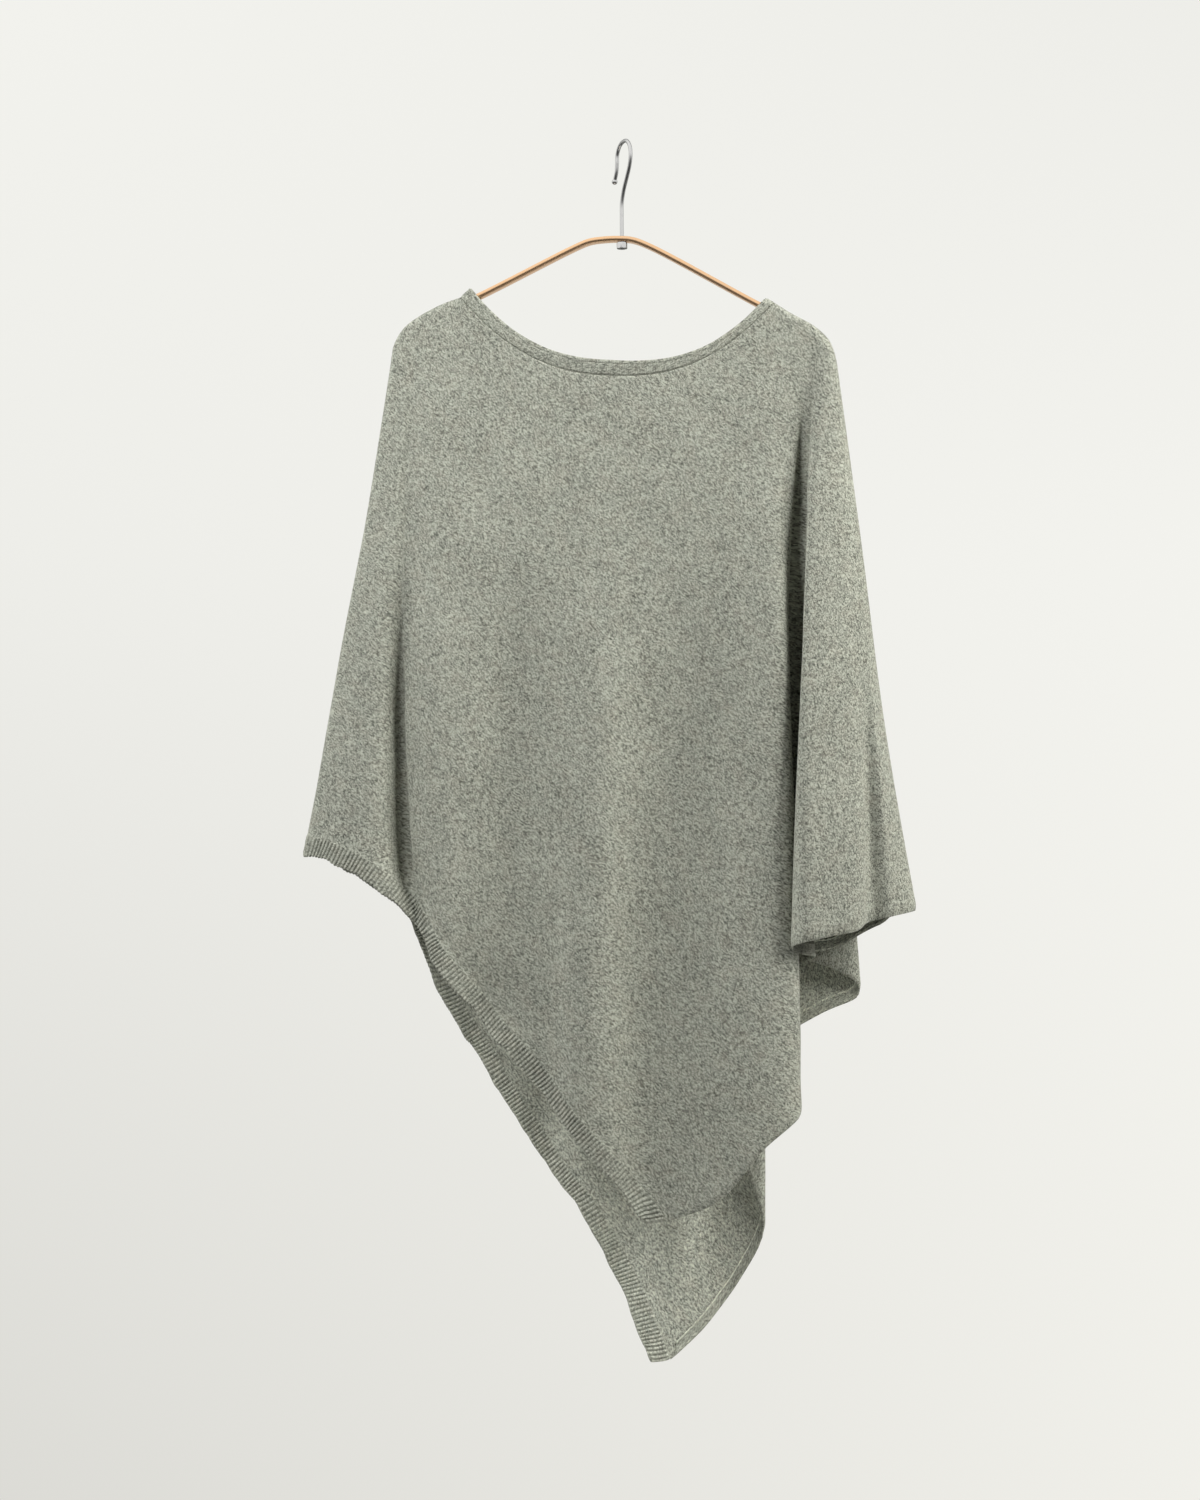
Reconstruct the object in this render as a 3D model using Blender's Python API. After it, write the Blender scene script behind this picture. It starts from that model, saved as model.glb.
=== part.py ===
"""Asymmetric knitted poncho hanging on a bent strip hanger.

All sizes are in millimetres until the meshes are written, in metres.
Axes: +X along the hanger to the viewer's right, +Z up, -Y towards the viewer (the garment's front).
Origin: the inside of the hook's crest, where it bears on a rail.

The garment is one closed tube of knitted cloth, split where a maker joins it: a front and a back panel that
meet on the shoulder and side lines, a ribbed edge on each left diagonal, a narrow edging on each right
diagonal and a neckband.  The tube is worked out from the top outline (shoulders and neck) and from short
tables with one row for each fold.  Every row gives where that fold leaves the top outline, where it passes
a third and two thirds of the way down, and where it meets the hem.
"""
import math

import bmesh
import bpy
import numpy as np
from mathutils import Vector

MM = 0.001

# ---------------------------------------------------------------- named sizes (mm)
CLOTH = 2.0            # wall of the plain knit
RIB = 2.4              # wall of the ribbed edge
EDGING = 2.4           # wall of the narrow side edging
NECKBAND = 2.4         # wall of the neckband
GAP = 0.3              # gap between pieces that are linked together
MID_Y = 3.0            # plane of the hanger, behind the bearing point
RIB_WIDTH = 17.5       # ribbed edge, square to the hem
EDGING_WIDTH = 9.5     # side edging, square to the hem
SHOULDER_HALF = 7.2    # half depth of the tube where it lies over the hanger
ROUND_TOP = 5.0        # rounding of the shoulder and side lines, at the top
ROUND_HEM = 12.0       # the same, at the hem
NECK_FRONT_BULGE = 6.5 # how far the middle of the neck edge stands further out than the shoulders

# neck seam: from the left to the right neck corner, sagging by a drop that follows 1 - |2q - 1|^p
NECK_SEAM = {"left": (-151.5, -135.7), "right": (136.0, -152.3), "drop": 70.6, "p": 2.4}
NECK_EDGE = {"left": (-142.2, -127.7), "right": (129.2, -147.9), "drop": 63.5, "p": 2.6}

# shoulder sections from the side line up to the neck corner
#                 x       z
SHOULDER_LEFT = [
    (-216.3, -190.1),
    (-214.0, -177.4),
    (-205.2, -162.6),
    (-190.8, -152.0),
    (-169.0, -141.4),
    (-151.5, -135.7),
]
SHOULDER_RIGHT = [
    (136.0, -152.3),
    (150.0, -161.8),
    (171.0, -174.4),
    (183.2, -186.2),
    (188.3, -197.6),
    (190.8, -208.6),
]

# fold rows.  top: distance along the top outline from the left side line.
# x1, y1 / x2, y2: place at a third and at two thirds of the way down.  x3, y3, z3: place at the hem.
# y is the distance in front of (-) or behind (+) the hanger's plane.
FRONT_FOLDS = [
    # fold               top     x1     y1      x2     y2      x3      z3     y3
    ("side_left",        0.0, -241.5,  -9.0, -270.0, -11.0, -300.6, -644.6, -12.0),
    ("lobe_outer",      22.0, -233.5, -10.0, -260.0, -14.0, -284.0, -647.0, -18.0),
    ("lobe_crest",      34.0, -221.5, -13.0, -241.5, -21.0, -251.0, -660.0, -30.0),
    ("lobe_turn",       42.0, -210.7, -14.0, -218.5, -22.0, -214.0, -688.0, -32.0),
    ("valley_left",     47.0, -202.5, -10.5, -206.5,  -9.5, -198.5, -710.0, -13.0),
    ("valley_left_in",  53.6, -195.0, -13.0, -198.0, -14.0, -189.4, -726.0, -19.0),
    ("ridge_left",      61.8, -185.0, -17.0, -184.0, -27.0, -174.6, -749.0, -36.0),
    ("panel_left",      84.0, -150.0, -20.5, -143.0, -31.5, -128.0, -796.0, -41.5),
    ("hollow_1",       127.0, -108.0, -21.0,  -90.0, -28.0,  -75.0, -860.0, -36.0),
    ("swell_1",        180.0,  -66.0, -24.0,  -48.0, -34.0,  -31.0, -913.0, -42.0),
    ("swell_2",        226.0,  -31.0, -25.0,  -19.5, -36.0,   -7.5, -939.0, -46.0),
    ("point_front",    278.0,   11.5, -24.0,   14.0, -32.0,   18.3, -973.8, -42.0),
    ("hollow_2",       312.0,   46.0, -24.0,   51.0, -32.5,   56.0, -964.5, -41.0),
    ("swell_3",        345.0,   79.0, -24.0,   83.0, -35.0,   86.7, -948.0, -44.0),
    ("panel_right",    387.0,  114.0, -22.0,  117.6, -32.0,  121.1, -907.5, -42.0),
    ("panel_turn",     424.0,  138.5, -20.0,  143.0, -27.0,  146.0, -881.0, -31.0),
    ("panel_edge",     446.0,  148.8, -15.5,  151.0, -15.0,  153.0, -862.0,  -9.0),
    ("valley_in",        457.0,  151.6, -10.0,  149.0,  -1.0,  146.5, -832.0,  10.0),
    ("valley_floor_in",  463.5,  154.0,  -7.5,  145.5,   7.0,  138.0, -806.0,  20.5),
    ("valley_floor_out", 467.5,  157.2,  -7.5,  149.0,  11.5,  140.5, -789.0,  25.5),
    ("valley_out",       471.5,  159.6, -10.2,  154.5,   3.0,  151.0, -764.0,  12.0),
    ("pleat_back",     475.0,  160.6, -14.8,  157.2, -12.0,  159.9, -744.0,  -8.0),
    ("pleat_side",     478.5,  160.0, -20.0,  154.0, -28.0,  151.7, -736.5, -27.0),
    ("pleat_crest",    482.0,  161.4, -24.5,  151.2, -37.0,  145.1, -731.0, -42.0),
    ("sleeve_front",   486.0,  168.0, -27.0,  161.0, -43.0,  161.6, -726.5, -52.0),
    ("sleeve_mid",     490.5,  181.6, -25.0,  183.1, -40.0,  185.2, -721.0, -52.0),
    ("tuck_crest",     494.5,  195.4, -20.0,  203.6, -31.0,  204.8, -717.0, -45.0),
    ("tuck_in",        499.0,  201.5, -15.5,  213.8, -22.0,  215.8, -710.0, -26.0),
    ("tuck_out",       502.5,  206.0, -12.0,  220.4, -17.0,  231.0, -705.5, -16.0),
    ("side_right",     505.4,  210.7,  -9.0,  229.4, -11.0,  255.4, -699.7, -12.0),
]
BACK_FOLDS = [
    # fold               top     x1     y1      x2     y2      x3      z3     y3
    ("side_left",        0.0, -241.5,   9.0, -270.0,  11.0, -300.6, -644.6,  12.0),
    ("back_lobe",       24.0, -232.0,  10.5, -257.0,  15.0, -278.0, -651.0,  17.0),
    ("back_dip",        44.0, -213.5,  14.0, -234.5,  22.0, -247.0, -672.0,  27.0),
    ("back_turn",       58.0, -197.0,  17.5, -211.5,  28.5, -218.0, -697.0,  34.0),
    ("back_left",       74.0, -179.0,  21.0, -189.5,  33.0, -197.0, -756.0,  41.0),
    ("back_swell_1",   106.0, -147.0,  25.0, -151.0,  43.0, -146.5, -838.0,  55.0),
    ("back_swell_2",   149.0, -109.5,  27.0, -109.0,  46.0,  -89.7, -927.0,  59.0),
    ("back_hollow",    198.0,  -66.5,  25.0,  -67.0,  43.0,  -50.6, -981.0,  57.0),
    ("back_swell_3",   247.0,  -20.5,  27.0,  -24.0,  48.0,  -22.5, -1040.0, 64.0),
    ("back_rise",      296.0,   25.0,  28.0,   17.0,  47.0,    0.4, -1094.5, 62.0),
    ("point_back",     321.0,   47.5,  26.0,   36.5,  44.0,    8.0, -1110.5, 60.0),
    ("back_right_1",   345.0,   68.0,  25.0,   55.5,  42.0,   25.3, -1106.0, 61.0),
    ("back_right_2",   388.0,  101.5,  26.0,   92.0,  45.0,   72.2, -1058.0, 65.0),
    ("pleat_2_crest_out", 421.5, 119.0, 28.5,  115.5,  45.0,  110.5, -996.0, 60.5),
    ("pleat_2_crest_in", 426.5, 125.0,  26.0,  117.0,  39.5,  111.5, -980.0, 54.0),
    ("pleat_2_under",  430.5,  128.0,  21.0,  110.0,  36.0,   97.0, -932.0,  48.5),
    ("pleat_2_root_out", 434.5, 131.0, 16.5,  103.0,  32.5,   71.0, -871.0,  45.5),
    ("pleat_2_root_in", 438.5, 135.5,  14.0,  104.0,  26.5,   71.5, -852.0,  39.0),
    ("pleat_2_leaf",    442.0, 140.5,  14.0,  113.5,  25.5,   82.0, -841.0,  37.0),
    ("back_sleeve",    447.5,  147.5,  14.8,  129.5,  28.5,  107.4, -827.0,  38.5),
    ("back_sleeve_2",  459.0,  163.0,  16.5,  167.0,  30.5,  166.0, -793.0,  38.5),
    ("pleat_1_crest_out", 467.5, 171.5, 16.5,  189.0,  28.5,  200.0, -778.0, 34.5),
    ("pleat_1_crest_in", 471.0, 175.3,  14.6,  189.5,  23.0,  200.5, -769.0, 28.5),
    ("pleat_1_under",  474.2,  178.4,  12.5,  180.0,  19.3,  179.5, -759.0,  23.8),
    ("pleat_1_root_out", 477.2, 181.2, 10.6,  172.0,  16.6,  158.8, -750.5,  20.4),
    ("pleat_1_root_in", 480.5, 184.6,   9.2,  172.5,  12.2,  159.2, -743.5,  14.6),
    ("sleeve_back",    485.5,  189.6,   9.0,  186.6,  12.6,  183.0, -733.0,  15.0),
    ("sleeve_back_2",  492.0,  200.0,   9.0,  212.0,  12.0,  220.0, -713.0,  15.0),
    ("side_right",     505.4,  210.7,   9.0,  229.4,  11.0,  255.4, -699.7,  12.0),
]

# hanger
STRIP_TALL = 4.8       # height of the strip
STRIP_DEEP = 9.0       # front to back
STRIP_EDGE = 0.9       # rounding of its edges
STRIP_UNDER = 3.6      # depth of the strip's top under the shoulder lines
# top line of the strip between the two neck corners, left to right (x, z)
STRIP_LINE = [
    (-137.5, -133.0),
    (-43.6, -90.0),
    (-32.0, -86.0),
    (-19.0, -84.7),
    (-5.4, -84.7),
    (8.0, -86.3),
    (24.0, -92.9),
    (120.0, -148.8),
]
WIRE = 3.4             # hook wire
BALL = 5.2             # ball on the hook's tip
HOOK_TURN = 33.0       # degrees that the hook's plane is turned from front towards the right
NUT_FLATS = 9.0
NUT_TALL = 5.4
# hook centre line in its own plane: out (+ towards the front bulge), up.  The first row is the stem's foot.
HOOK_LINE = [
    (-4.2, -93.5),
    (-4.2, -66.0),
    (-3.6, -54.0),
    (0.6, -43.0),
    (7.4, -33.0),
    (13.4, -23.5),
    (16.0, -14.5),
    (14.2, -5.6),
    (8.2, 0.4),
    (0.0, 1.7),
    (-7.6, -0.8),
    (-12.6, -7.2),
    (-13.4, -15.5),
    (-14.6, -22.5),
    (-18.0, -29.0),
]

# ---------------------------------------------------------------- curve helpers


def centripetal(p0, p1, p2, p3, f):
    """Point at fraction f between p1 and p2 of a centripetal Catmull-Rom curve."""
    t0 = 0.0
    t1 = t0 + max(math.sqrt(np.linalg.norm(p1 - p0)), 1e-6)
    t2 = t1 + max(math.sqrt(np.linalg.norm(p2 - p1)), 1e-6)
    t3 = t2 + max(math.sqrt(np.linalg.norm(p3 - p2)), 1e-6)
    t = t1 + (t2 - t1) * f
    a1 = p0 * (t1 - t) / (t1 - t0) + p1 * (t - t0) / (t1 - t0)
    a2 = p1 * (t2 - t) / (t2 - t1) + p2 * (t - t1) / (t2 - t1)
    a3 = p2 * (t3 - t) / (t3 - t2) + p3 * (t - t2) / (t3 - t2)
    b1 = a1 * (t2 - t) / (t2 - t0) + a2 * (t - t0) / (t2 - t0)
    b2 = a2 * (t3 - t) / (t3 - t1) + a3 * (t - t1) / (t3 - t1)
    return b1 * (t2 - t) / (t2 - t1) + b2 * (t - t1) / (t2 - t1)


def along(points, i, f, corners=()):
    """Point on the curve through the rows, in the span from row i to row i + 1."""
    n = len(points)
    p1, p2 = points[i], points[i + 1]
    p0 = points[i - 1] if i > 0 and i not in corners else 2 * p1 - p2
    p3 = points[i + 2] if i + 2 < n and (i + 1) not in corners else 2 * p2 - p1
    return centripetal(p0, p1, p2, p3, f)


def smooth_line(points, steps):
    pts = [np.array(p, float) for p in points]
    out = []
    for i in range(len(pts) - 1):
        for k in range(steps):
            out.append(along(pts, i, k / steps))
    out.append(pts[-1])
    return np.array(out)


def neck_curve(spec, q):
    a, b = np.array(spec["left"]), np.array(spec["right"])
    point = a + (b - a) * q
    point[1] -= spec["drop"] * (1.0 - abs(2.0 * q - 1.0) ** spec["p"])
    return point


# ---------------------------------------------------------------- top outline
LEFT_LINE = smooth_line(SHOULDER_LEFT, 8)
RIGHT_LINE = smooth_line(SHOULDER_RIGHT, 8)
NECK_LINE = np.array([neck_curve(NECK_SEAM, q) for q in np.linspace(0, 1, 97)])
TOP_LINE = np.vstack([LEFT_LINE[:-1], NECK_LINE, RIGHT_LINE[1:]])
TOP_RUN = np.concatenate([[0.0], np.cumsum(np.linalg.norm(np.diff(TOP_LINE, axis=0), axis=1))])
NECK_START = TOP_RUN[len(LEFT_LINE) - 1]
NECK_END = TOP_RUN[len(LEFT_LINE) - 2 + len(NECK_LINE)]
TOP_SCALE = TOP_RUN[-1] / 505.4


def top_point(run):
    run = min(max(run * TOP_SCALE, 0.0), TOP_RUN[-1])
    x = np.interp(run, TOP_RUN, TOP_LINE[:, 0])
    z = np.interp(run, TOP_RUN, TOP_LINE[:, 1])
    q = min(max((run - NECK_START) / (NECK_END - NECK_START), 0.0), 1.0)
    y = SHOULDER_HALF + NECK_FRONT_BULGE * math.sin(math.pi * q) ** 0.8
    return x, y, z


# ---------------------------------------------------------------- the tube


class Tube:
    """Front or back half of the cloth tube: side is -1 for the front, +1 for the back."""

    def __init__(self, rows, side, corner):
        self.side = side
        self.names = [r[0] for r in rows]
        self.corner = self.names.index(corner)
        self.rows = rows
        top, third, two, hem = [], [], [], []
        for name, run, x1, y1, x2, y2, x3, z3, y3 in rows:
            x0, y0, z0 = top_point(run)
            top.append((x0, side * y0, z0))
            third.append((x1, y1, z0 + (z3 - z0) / 3))
            two.append((x2, y2, z0 + (z3 - z0) * 2 / 3))
            hem.append((x3, y3, z3))
        self.run = np.array([r[1] for r in rows])
        self.levels = [np.array(v, float) for v in (top, third, two, hem)]
        self.slope = self.hem_slopes()

    def hem_slopes(self):
        hem, n, c = self.levels[3], len(self.rows), self.corner
        out = []
        for i in range(n):
            a = max(i - 1, 0) if i != c else i
            b = min(i + 1, n - 1)
            flat = np.linalg.norm(hem[b, :2] - hem[a, :2]) if abs(b - a) == 1 else (
                np.linalg.norm(hem[i, :2] - hem[a, :2]) + np.linalg.norm(hem[b, :2] - hem[i, :2]))
            out.append(min(abs(hem[b, 2] - hem[a, 2]) / max(flat, 1.0), 1.6))
        out[0] = 0.35
        out[-1] = 0.35
        return np.array(out)

    def rim(self, x, z, t):
        """How far the rounding of the shoulder and side lines lets the cloth stand out, 0 to 1."""
        near = ridge_distance(x, z)
        reach = ROUND_TOP + (ROUND_HEM - ROUND_TOP) * t
        d = np.clip(near / reach, 0.0, 1.0)
        return math.sqrt(max(0.0, 1.0 - (1.0 - d) ** 2))

    def run_at(self, u):
        i = min(int(u), len(self.rows) - 2)
        if 0 < i < len(self.rows) - 2:
            return float(along([np.array([r]) for r in self.run], i, u - i)[0])
        return float(np.interp(u, range(len(self.run)), self.run))

    def u_at(self, run):
        """The u whose line leaves the top outline at this distance along it."""
        lo, hi = 0.0, len(self.rows) - 1.0
        for _ in range(40):
            mid = (lo + hi) / 2
            lo, hi = (mid, hi) if self.run_at(mid) < run else (lo, mid)
        return (lo + hi) / 2

    def normal(self, u, t, du=0.02, dt=0.0015):
        """Outward direction of the cloth at (u, t)."""
        last = len(self.rows) - 1.0
        a = self.point(min(u + du, last), t) - self.point(max(u - du, 0.0), t)
        b = self.point(u, min(t + dt, 1.0)) - self.point(u, max(t - dt, 0.0))
        v = np.cross(b, a)
        v /= -self.side * np.linalg.norm(v) + 1e-12
        # close to the shoulder and side lines the rounding gives the direction
        x, y, z = self.point(u, t)
        near = min(ridge_distance(x, z) / (ROUND_TOP + (ROUND_HEM - ROUND_TOP) * t), 1.0)
        if near < 1.0:
            half = abs(y) / max(self.rim(x, z, t), 0.05)
            turn = ridge_normal(x, z) * ((1.0 - near) * half)
            turn[1] = self.side * math.sqrt(1.0 - (1.0 - near) ** 2) * (ROUND_TOP + (ROUND_HEM - ROUND_TOP) * t)
            turn /= np.linalg.norm(turn) + 1e-12
            keep = min(max((near - 0.25) / 0.65, 0.0), 1.0)
            v = turn * (1.0 - keep) + v * keep
            v /= np.linalg.norm(v) + 1e-12
        return v

    def point(self, u, t):
        """Middle of the cloth at u (row number with a fraction) and t (0 at the top, 1 at the hem)."""
        i = min(int(u), len(self.rows) - 2)
        f = u - i
        at = []
        for level, pts in enumerate(self.levels):
            if level == 0:
                x, y, z = top_point(self.run_at(u))
                at.append(np.array((x, self.side * y, z)))
            else:
                at.append(along(pts, i, f, corners=(self.corner,) if level == 3 else ()))
        w = down(t)
        p = sum(a * k for a, k in zip(at, w))
        z = at[0][2] + (at[3][2] - at[0][2]) * t
        y = p[1] * self.rim(p[0], z, t)
        return np.array((p[0], y, z))


def down(t):
    """Weights of the four levels at t: one smooth line through them, with little overshoot."""
    k = min(int(t * 3), 2)
    f = t * 3 - k
    ease = (1 + 2 * f) * (1 - f) ** 2, f * (1 - f) ** 2, f * f * (3 - 2 * f), f * f * (f - 1)
    # direction of the line at each level, as weights of the four levels
    leave = ((-1.25, 1.5, -0.25, 0.0), (-0.5, 0.0, 0.5, 0.0), (0.0, -0.5, 0.0, 0.5), (0.0, 0.25, -1.5, 1.25))
    w = [ease[1] * leave[k][i] + ease[3] * leave[k + 1][i] for i in range(4)]
    w[k] += ease[0]
    w[k + 1] += ease[2]
    return w


# the side lines, shoulders and neck corners together are the ridge where front and back meet


def side_line(row):
    name, run, x1, y1, x2, y2, x3, z3, y3 = row
    x0, y0, z0 = top_point(run)
    pts = []
    for t in np.linspace(0, 1, 121):
        w = down(t)
        pts.append((x0 * w[0] + x1 * w[1] + x2 * w[2] + x3 * w[3], z0 + (z3 - z0) * t))
    return np.array(pts)


RIDGES = [
    np.vstack([side_line(FRONT_FOLDS[0])[::-1], LEFT_LINE[1:], [NECK_EDGE["left"]]]),
    np.vstack([side_line(FRONT_FOLDS[-1])[::-1], RIGHT_LINE[::-1][1:], [NECK_EDGE["right"]]]),
]


def ridge_distance(x, z):
    best = 1e9
    p = np.array((x, z))
    for line in RIDGES:
        a, b = line[:-1], line[1:]
        ab = b - a
        t = np.clip(((p - a) * ab).sum(1) / (ab * ab).sum(1), 0, 1)
        d = np.linalg.norm(a + ab * t[:, None] - p, axis=1).min()
        best = min(best, d)
    return best


FRONT = Tube(FRONT_FOLDS, -1, "point_front")
BACK = Tube(BACK_FOLDS, 1, "point_back")


def band_lift(tube, u):
    """Height of the edge bands above the hem at u, so that they are as wide as stated square to the hem."""
    slope = float(np.interp(u, range(len(tube.slope)), tube.slope))
    stretch = math.sqrt(1 + slope * slope)
    c = tube.corner
    if u <= c:
        return RIB_WIDTH * stretch
    tall, low = RIB_WIDTH * math.sqrt(1 + tube.slope[c - 1] ** 2), EDGING_WIDTH * stretch
    reach = np.linalg.norm(tube.point(u, 1.0) - tube.point(c, 1.0))
    blend = min(max(1.0 - reach / 22.0, 0.0), 1.0)
    return low + (tall - low) * blend


def border_gap(tube, u):
    """Half of the gap between a panel and its edge band, measured upwards."""
    slope = float(np.interp(u, range(len(tube.slope)), tube.slope))
    return GAP * math.sqrt(1 + slope * slope)


def hem_t(tube, u, lift):
    top = tube.point(u, 0.0)[2]
    hem = tube.point(u, 1.0)[2]
    return 1.0 - lift / (top - hem)


# ---------------------------------------------------------------- walls from a grid of middle points


def wall(name, grid, normals, thick, material, back=False):
    """A closed wall of the given thickness around a grid of middle points (columns x rows)."""
    n, m, _ = grid.shape
    mesh = bpy.data.meshes.new(name)
    bm = bmesh.new()
    layers = []
    for sign in (0.5, -0.5):
        pts = (grid + normals * (thick * sign)) * MM
        pts[:, :, 1] += MID_Y * MM
        layers.append([[bm.verts.new(Vector(pts[i, j])) for j in range(m)] for i in range(n)])
    outer, inner = layers
    # both faces are divided along the same diagonals, so the wall keeps its thickness
    for i in range(n - 1):
        for j in range(m - 1):
            one = np.linalg.norm(grid[i, j] - grid[i + 1, j + 1])
            two = np.linalg.norm(grid[i + 1, j] - grid[i, j + 1])
            for layer, turn in ((outer, False), (inner, True)):
                a, b, c, d = layer[i][j], layer[i + 1][j], layer[i + 1][j + 1], layer[i][j + 1]
                tris = ((a, b, c), (a, c, d)) if one <= two else ((a, b, d), (b, c, d))
                for tri in tris:
                    bm.faces.new(tri[::-1] if turn else tri)

    def edge(low, high):
        (p, q), (i, j) = (high, low) if back else (low, high)
        a, b, c, d = inner[p][q], outer[p][q], outer[i][j], inner[i][j]
        bm.faces.new((a, b, c))
        bm.faces.new((a, c, d))

    for i in range(n - 1):
        edge((i, 0), (i + 1, 0))
        edge((i, m - 1), (i + 1, m - 1))
    for j in range(m - 1):
        edge((0, j), (0, j + 1))
        edge((n - 1, j), (n - 1, j + 1))
    bmesh.ops.recalc_face_normals(bm, faces=bm.faces)
    if bm.calc_volume(signed=True) < 0:
        bmesh.ops.reverse_faces(bm, faces=bm.faces)
    bm.to_mesh(mesh)
    bm.free()
    mesh.materials.append(material)
    mesh.shade_smooth()
    mesh.set_sharp_from_angle(angle=math.radians(55))
    obj = bpy.data.objects.new(name, mesh)
    bpy.context.scene.collection.objects.link(obj)
    return obj


# places across the neck where its seam has vertices, shared by the panels and the neckband
NECK_PLACES = [0.0, 0.004, 0.02, 0.05, 0.09] + [0.14 + 0.06 * k for k in range(13)] + [0.91, 0.95, 0.98, 0.996, 1.0]


def neck_places(tube):
    """The neck places, with the nearest one moved onto the line that ends at the hem's point."""
    q = (tube.run[tube.corner] * TOP_SCALE - NECK_START) / (NECK_END - NECK_START)
    places = list(NECK_PLACES)
    k = min(range(len(places)), key=lambda i: abs(places[i] - q))
    places[k] = q
    return places


def columns(tube, u_from, u_to, edge_from=True, edge_to=True):
    """Column places: the neck places under the neck, two spans for each fold row beside it, more at the side lines."""
    runs = [(NECK_START + q * (NECK_END - NECK_START)) / TOP_SCALE for q in neck_places(tube)]
    under_neck = [tube.u_at(r) for r in runs]
    marks = [u_from] + [u for u in under_neck if u_from + 0.1 < u < u_to - 0.1]
    for i in range(int(math.floor(u_from)), int(math.ceil(u_to))):
        for f in (0.0, 0.5):
            u = i + f
            if u_from + 0.2 < u < u_to - 0.2 and not under_neck[0] - 0.15 < u < under_neck[-1] + 0.15:
                marks.append(u)
    marks.append(u_to)
    extra = []
    if edge_from:
        extra += [u_from + 0.05, u_from + 0.18]
    if edge_to:
        extra += [u_to - 0.18, u_to - 0.05]
    return sorted(set(marks + extra))


ROWS_DOWN = (0.0, 0.0012, 0.005, 0.013, 0.04, 0.1, 0.19, 0.3, 0.42, 0.54, 0.66, 0.78, 0.89, 1.0)
ROWS_SPREAD = (0.0, 0.014, 0.026, 0.036, 0.028, 0.01) + (0.0,) * 8


def ridge_normal(x, z):
    """Outward direction in the X-Z plane at the shoulder and side lines."""
    best, out = 1e9, (0.0, 1.0)
    p = np.array((x, z))
    for k, line in enumerate(RIDGES):
        a, b = line[:-1], line[1:]
        ab = b - a
        t = np.clip(((p - a) * ab).sum(1) / (ab * ab).sum(1), 0, 1)
        d = np.linalg.norm(a + ab * t[:, None] - p, axis=1)
        i = int(d.argmin())
        if d[i] < best:
            best = d[i]
            dx, dz = ab[i] / np.linalg.norm(ab[i])
            out = (-dz, dx) if k == 0 else (dz, -dx)
    return np.array((out[0], 0.0, out[1]))


def seam_end(tube, grid, normals, i, j):
    """On the shoulder and side lines the cloth turns over: its wall ends there, half a gap short."""
    grid[i, j, 1] = tube.side * GAP / 2
    normals[i, j] = ridge_normal(grid[i, j, 0], grid[i, j, 2])


def tube_grid(tube, cols, rows_of):
    """Middle points and outward directions at the columns, with rows_of(u) giving the t values of each."""
    last = len(tube.rows) - 1.0
    grid = np.zeros((len(cols), len(rows_of(cols[0])), 3))
    normals = np.zeros_like(grid)
    for i, u in enumerate(cols):
        run = tube.run_at(u) * TOP_SCALE
        for j, t in enumerate(rows_of(u)):
            grid[i, j] = tube.point(u, t)
            normals[i, j] = tube.normal(u, t)
            on_shoulder = t == 0.0 and not NECK_START + 0.5 < run < NECK_END - 0.5
            if u == 0.0 or u == last or on_shoulder:
                seam_end(tube, grid, normals, i, j)
    return grid, normals


def panel(name, tube, material):
    last = len(tube.rows) - 1.0
    cols = columns(tube, 0.0, last)

    def rows_of(u):
        # the shoulder line runs into the side line, so the rows that follow the shoulder spread out there
        near = max(1.0 - min(u, last - u), 0.0) ** 2
        end = hem_t(tube, u, band_lift(tube, u) + border_gap(tube, u))
        return [end * (r + near * e) for r, e in zip(ROWS_DOWN, ROWS_SPREAD)]

    return wall(name, *tube_grid(tube, cols, rows_of), CLOTH, material, tube.side > 0)


def edge_band(name, tube, u_from, u_to, edge_from, edge_to, thick, material):
    cols = columns(tube, u_from, u_to, edge_from, edge_to)

    def rows_of(u):
        start = hem_t(tube, u, band_lift(tube, u) - border_gap(tube, u))
        return [start, (start + 1) / 2, 1.0]

    return wall(name, *tube_grid(tube, cols, rows_of), thick, material, tube.side > 0)


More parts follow.
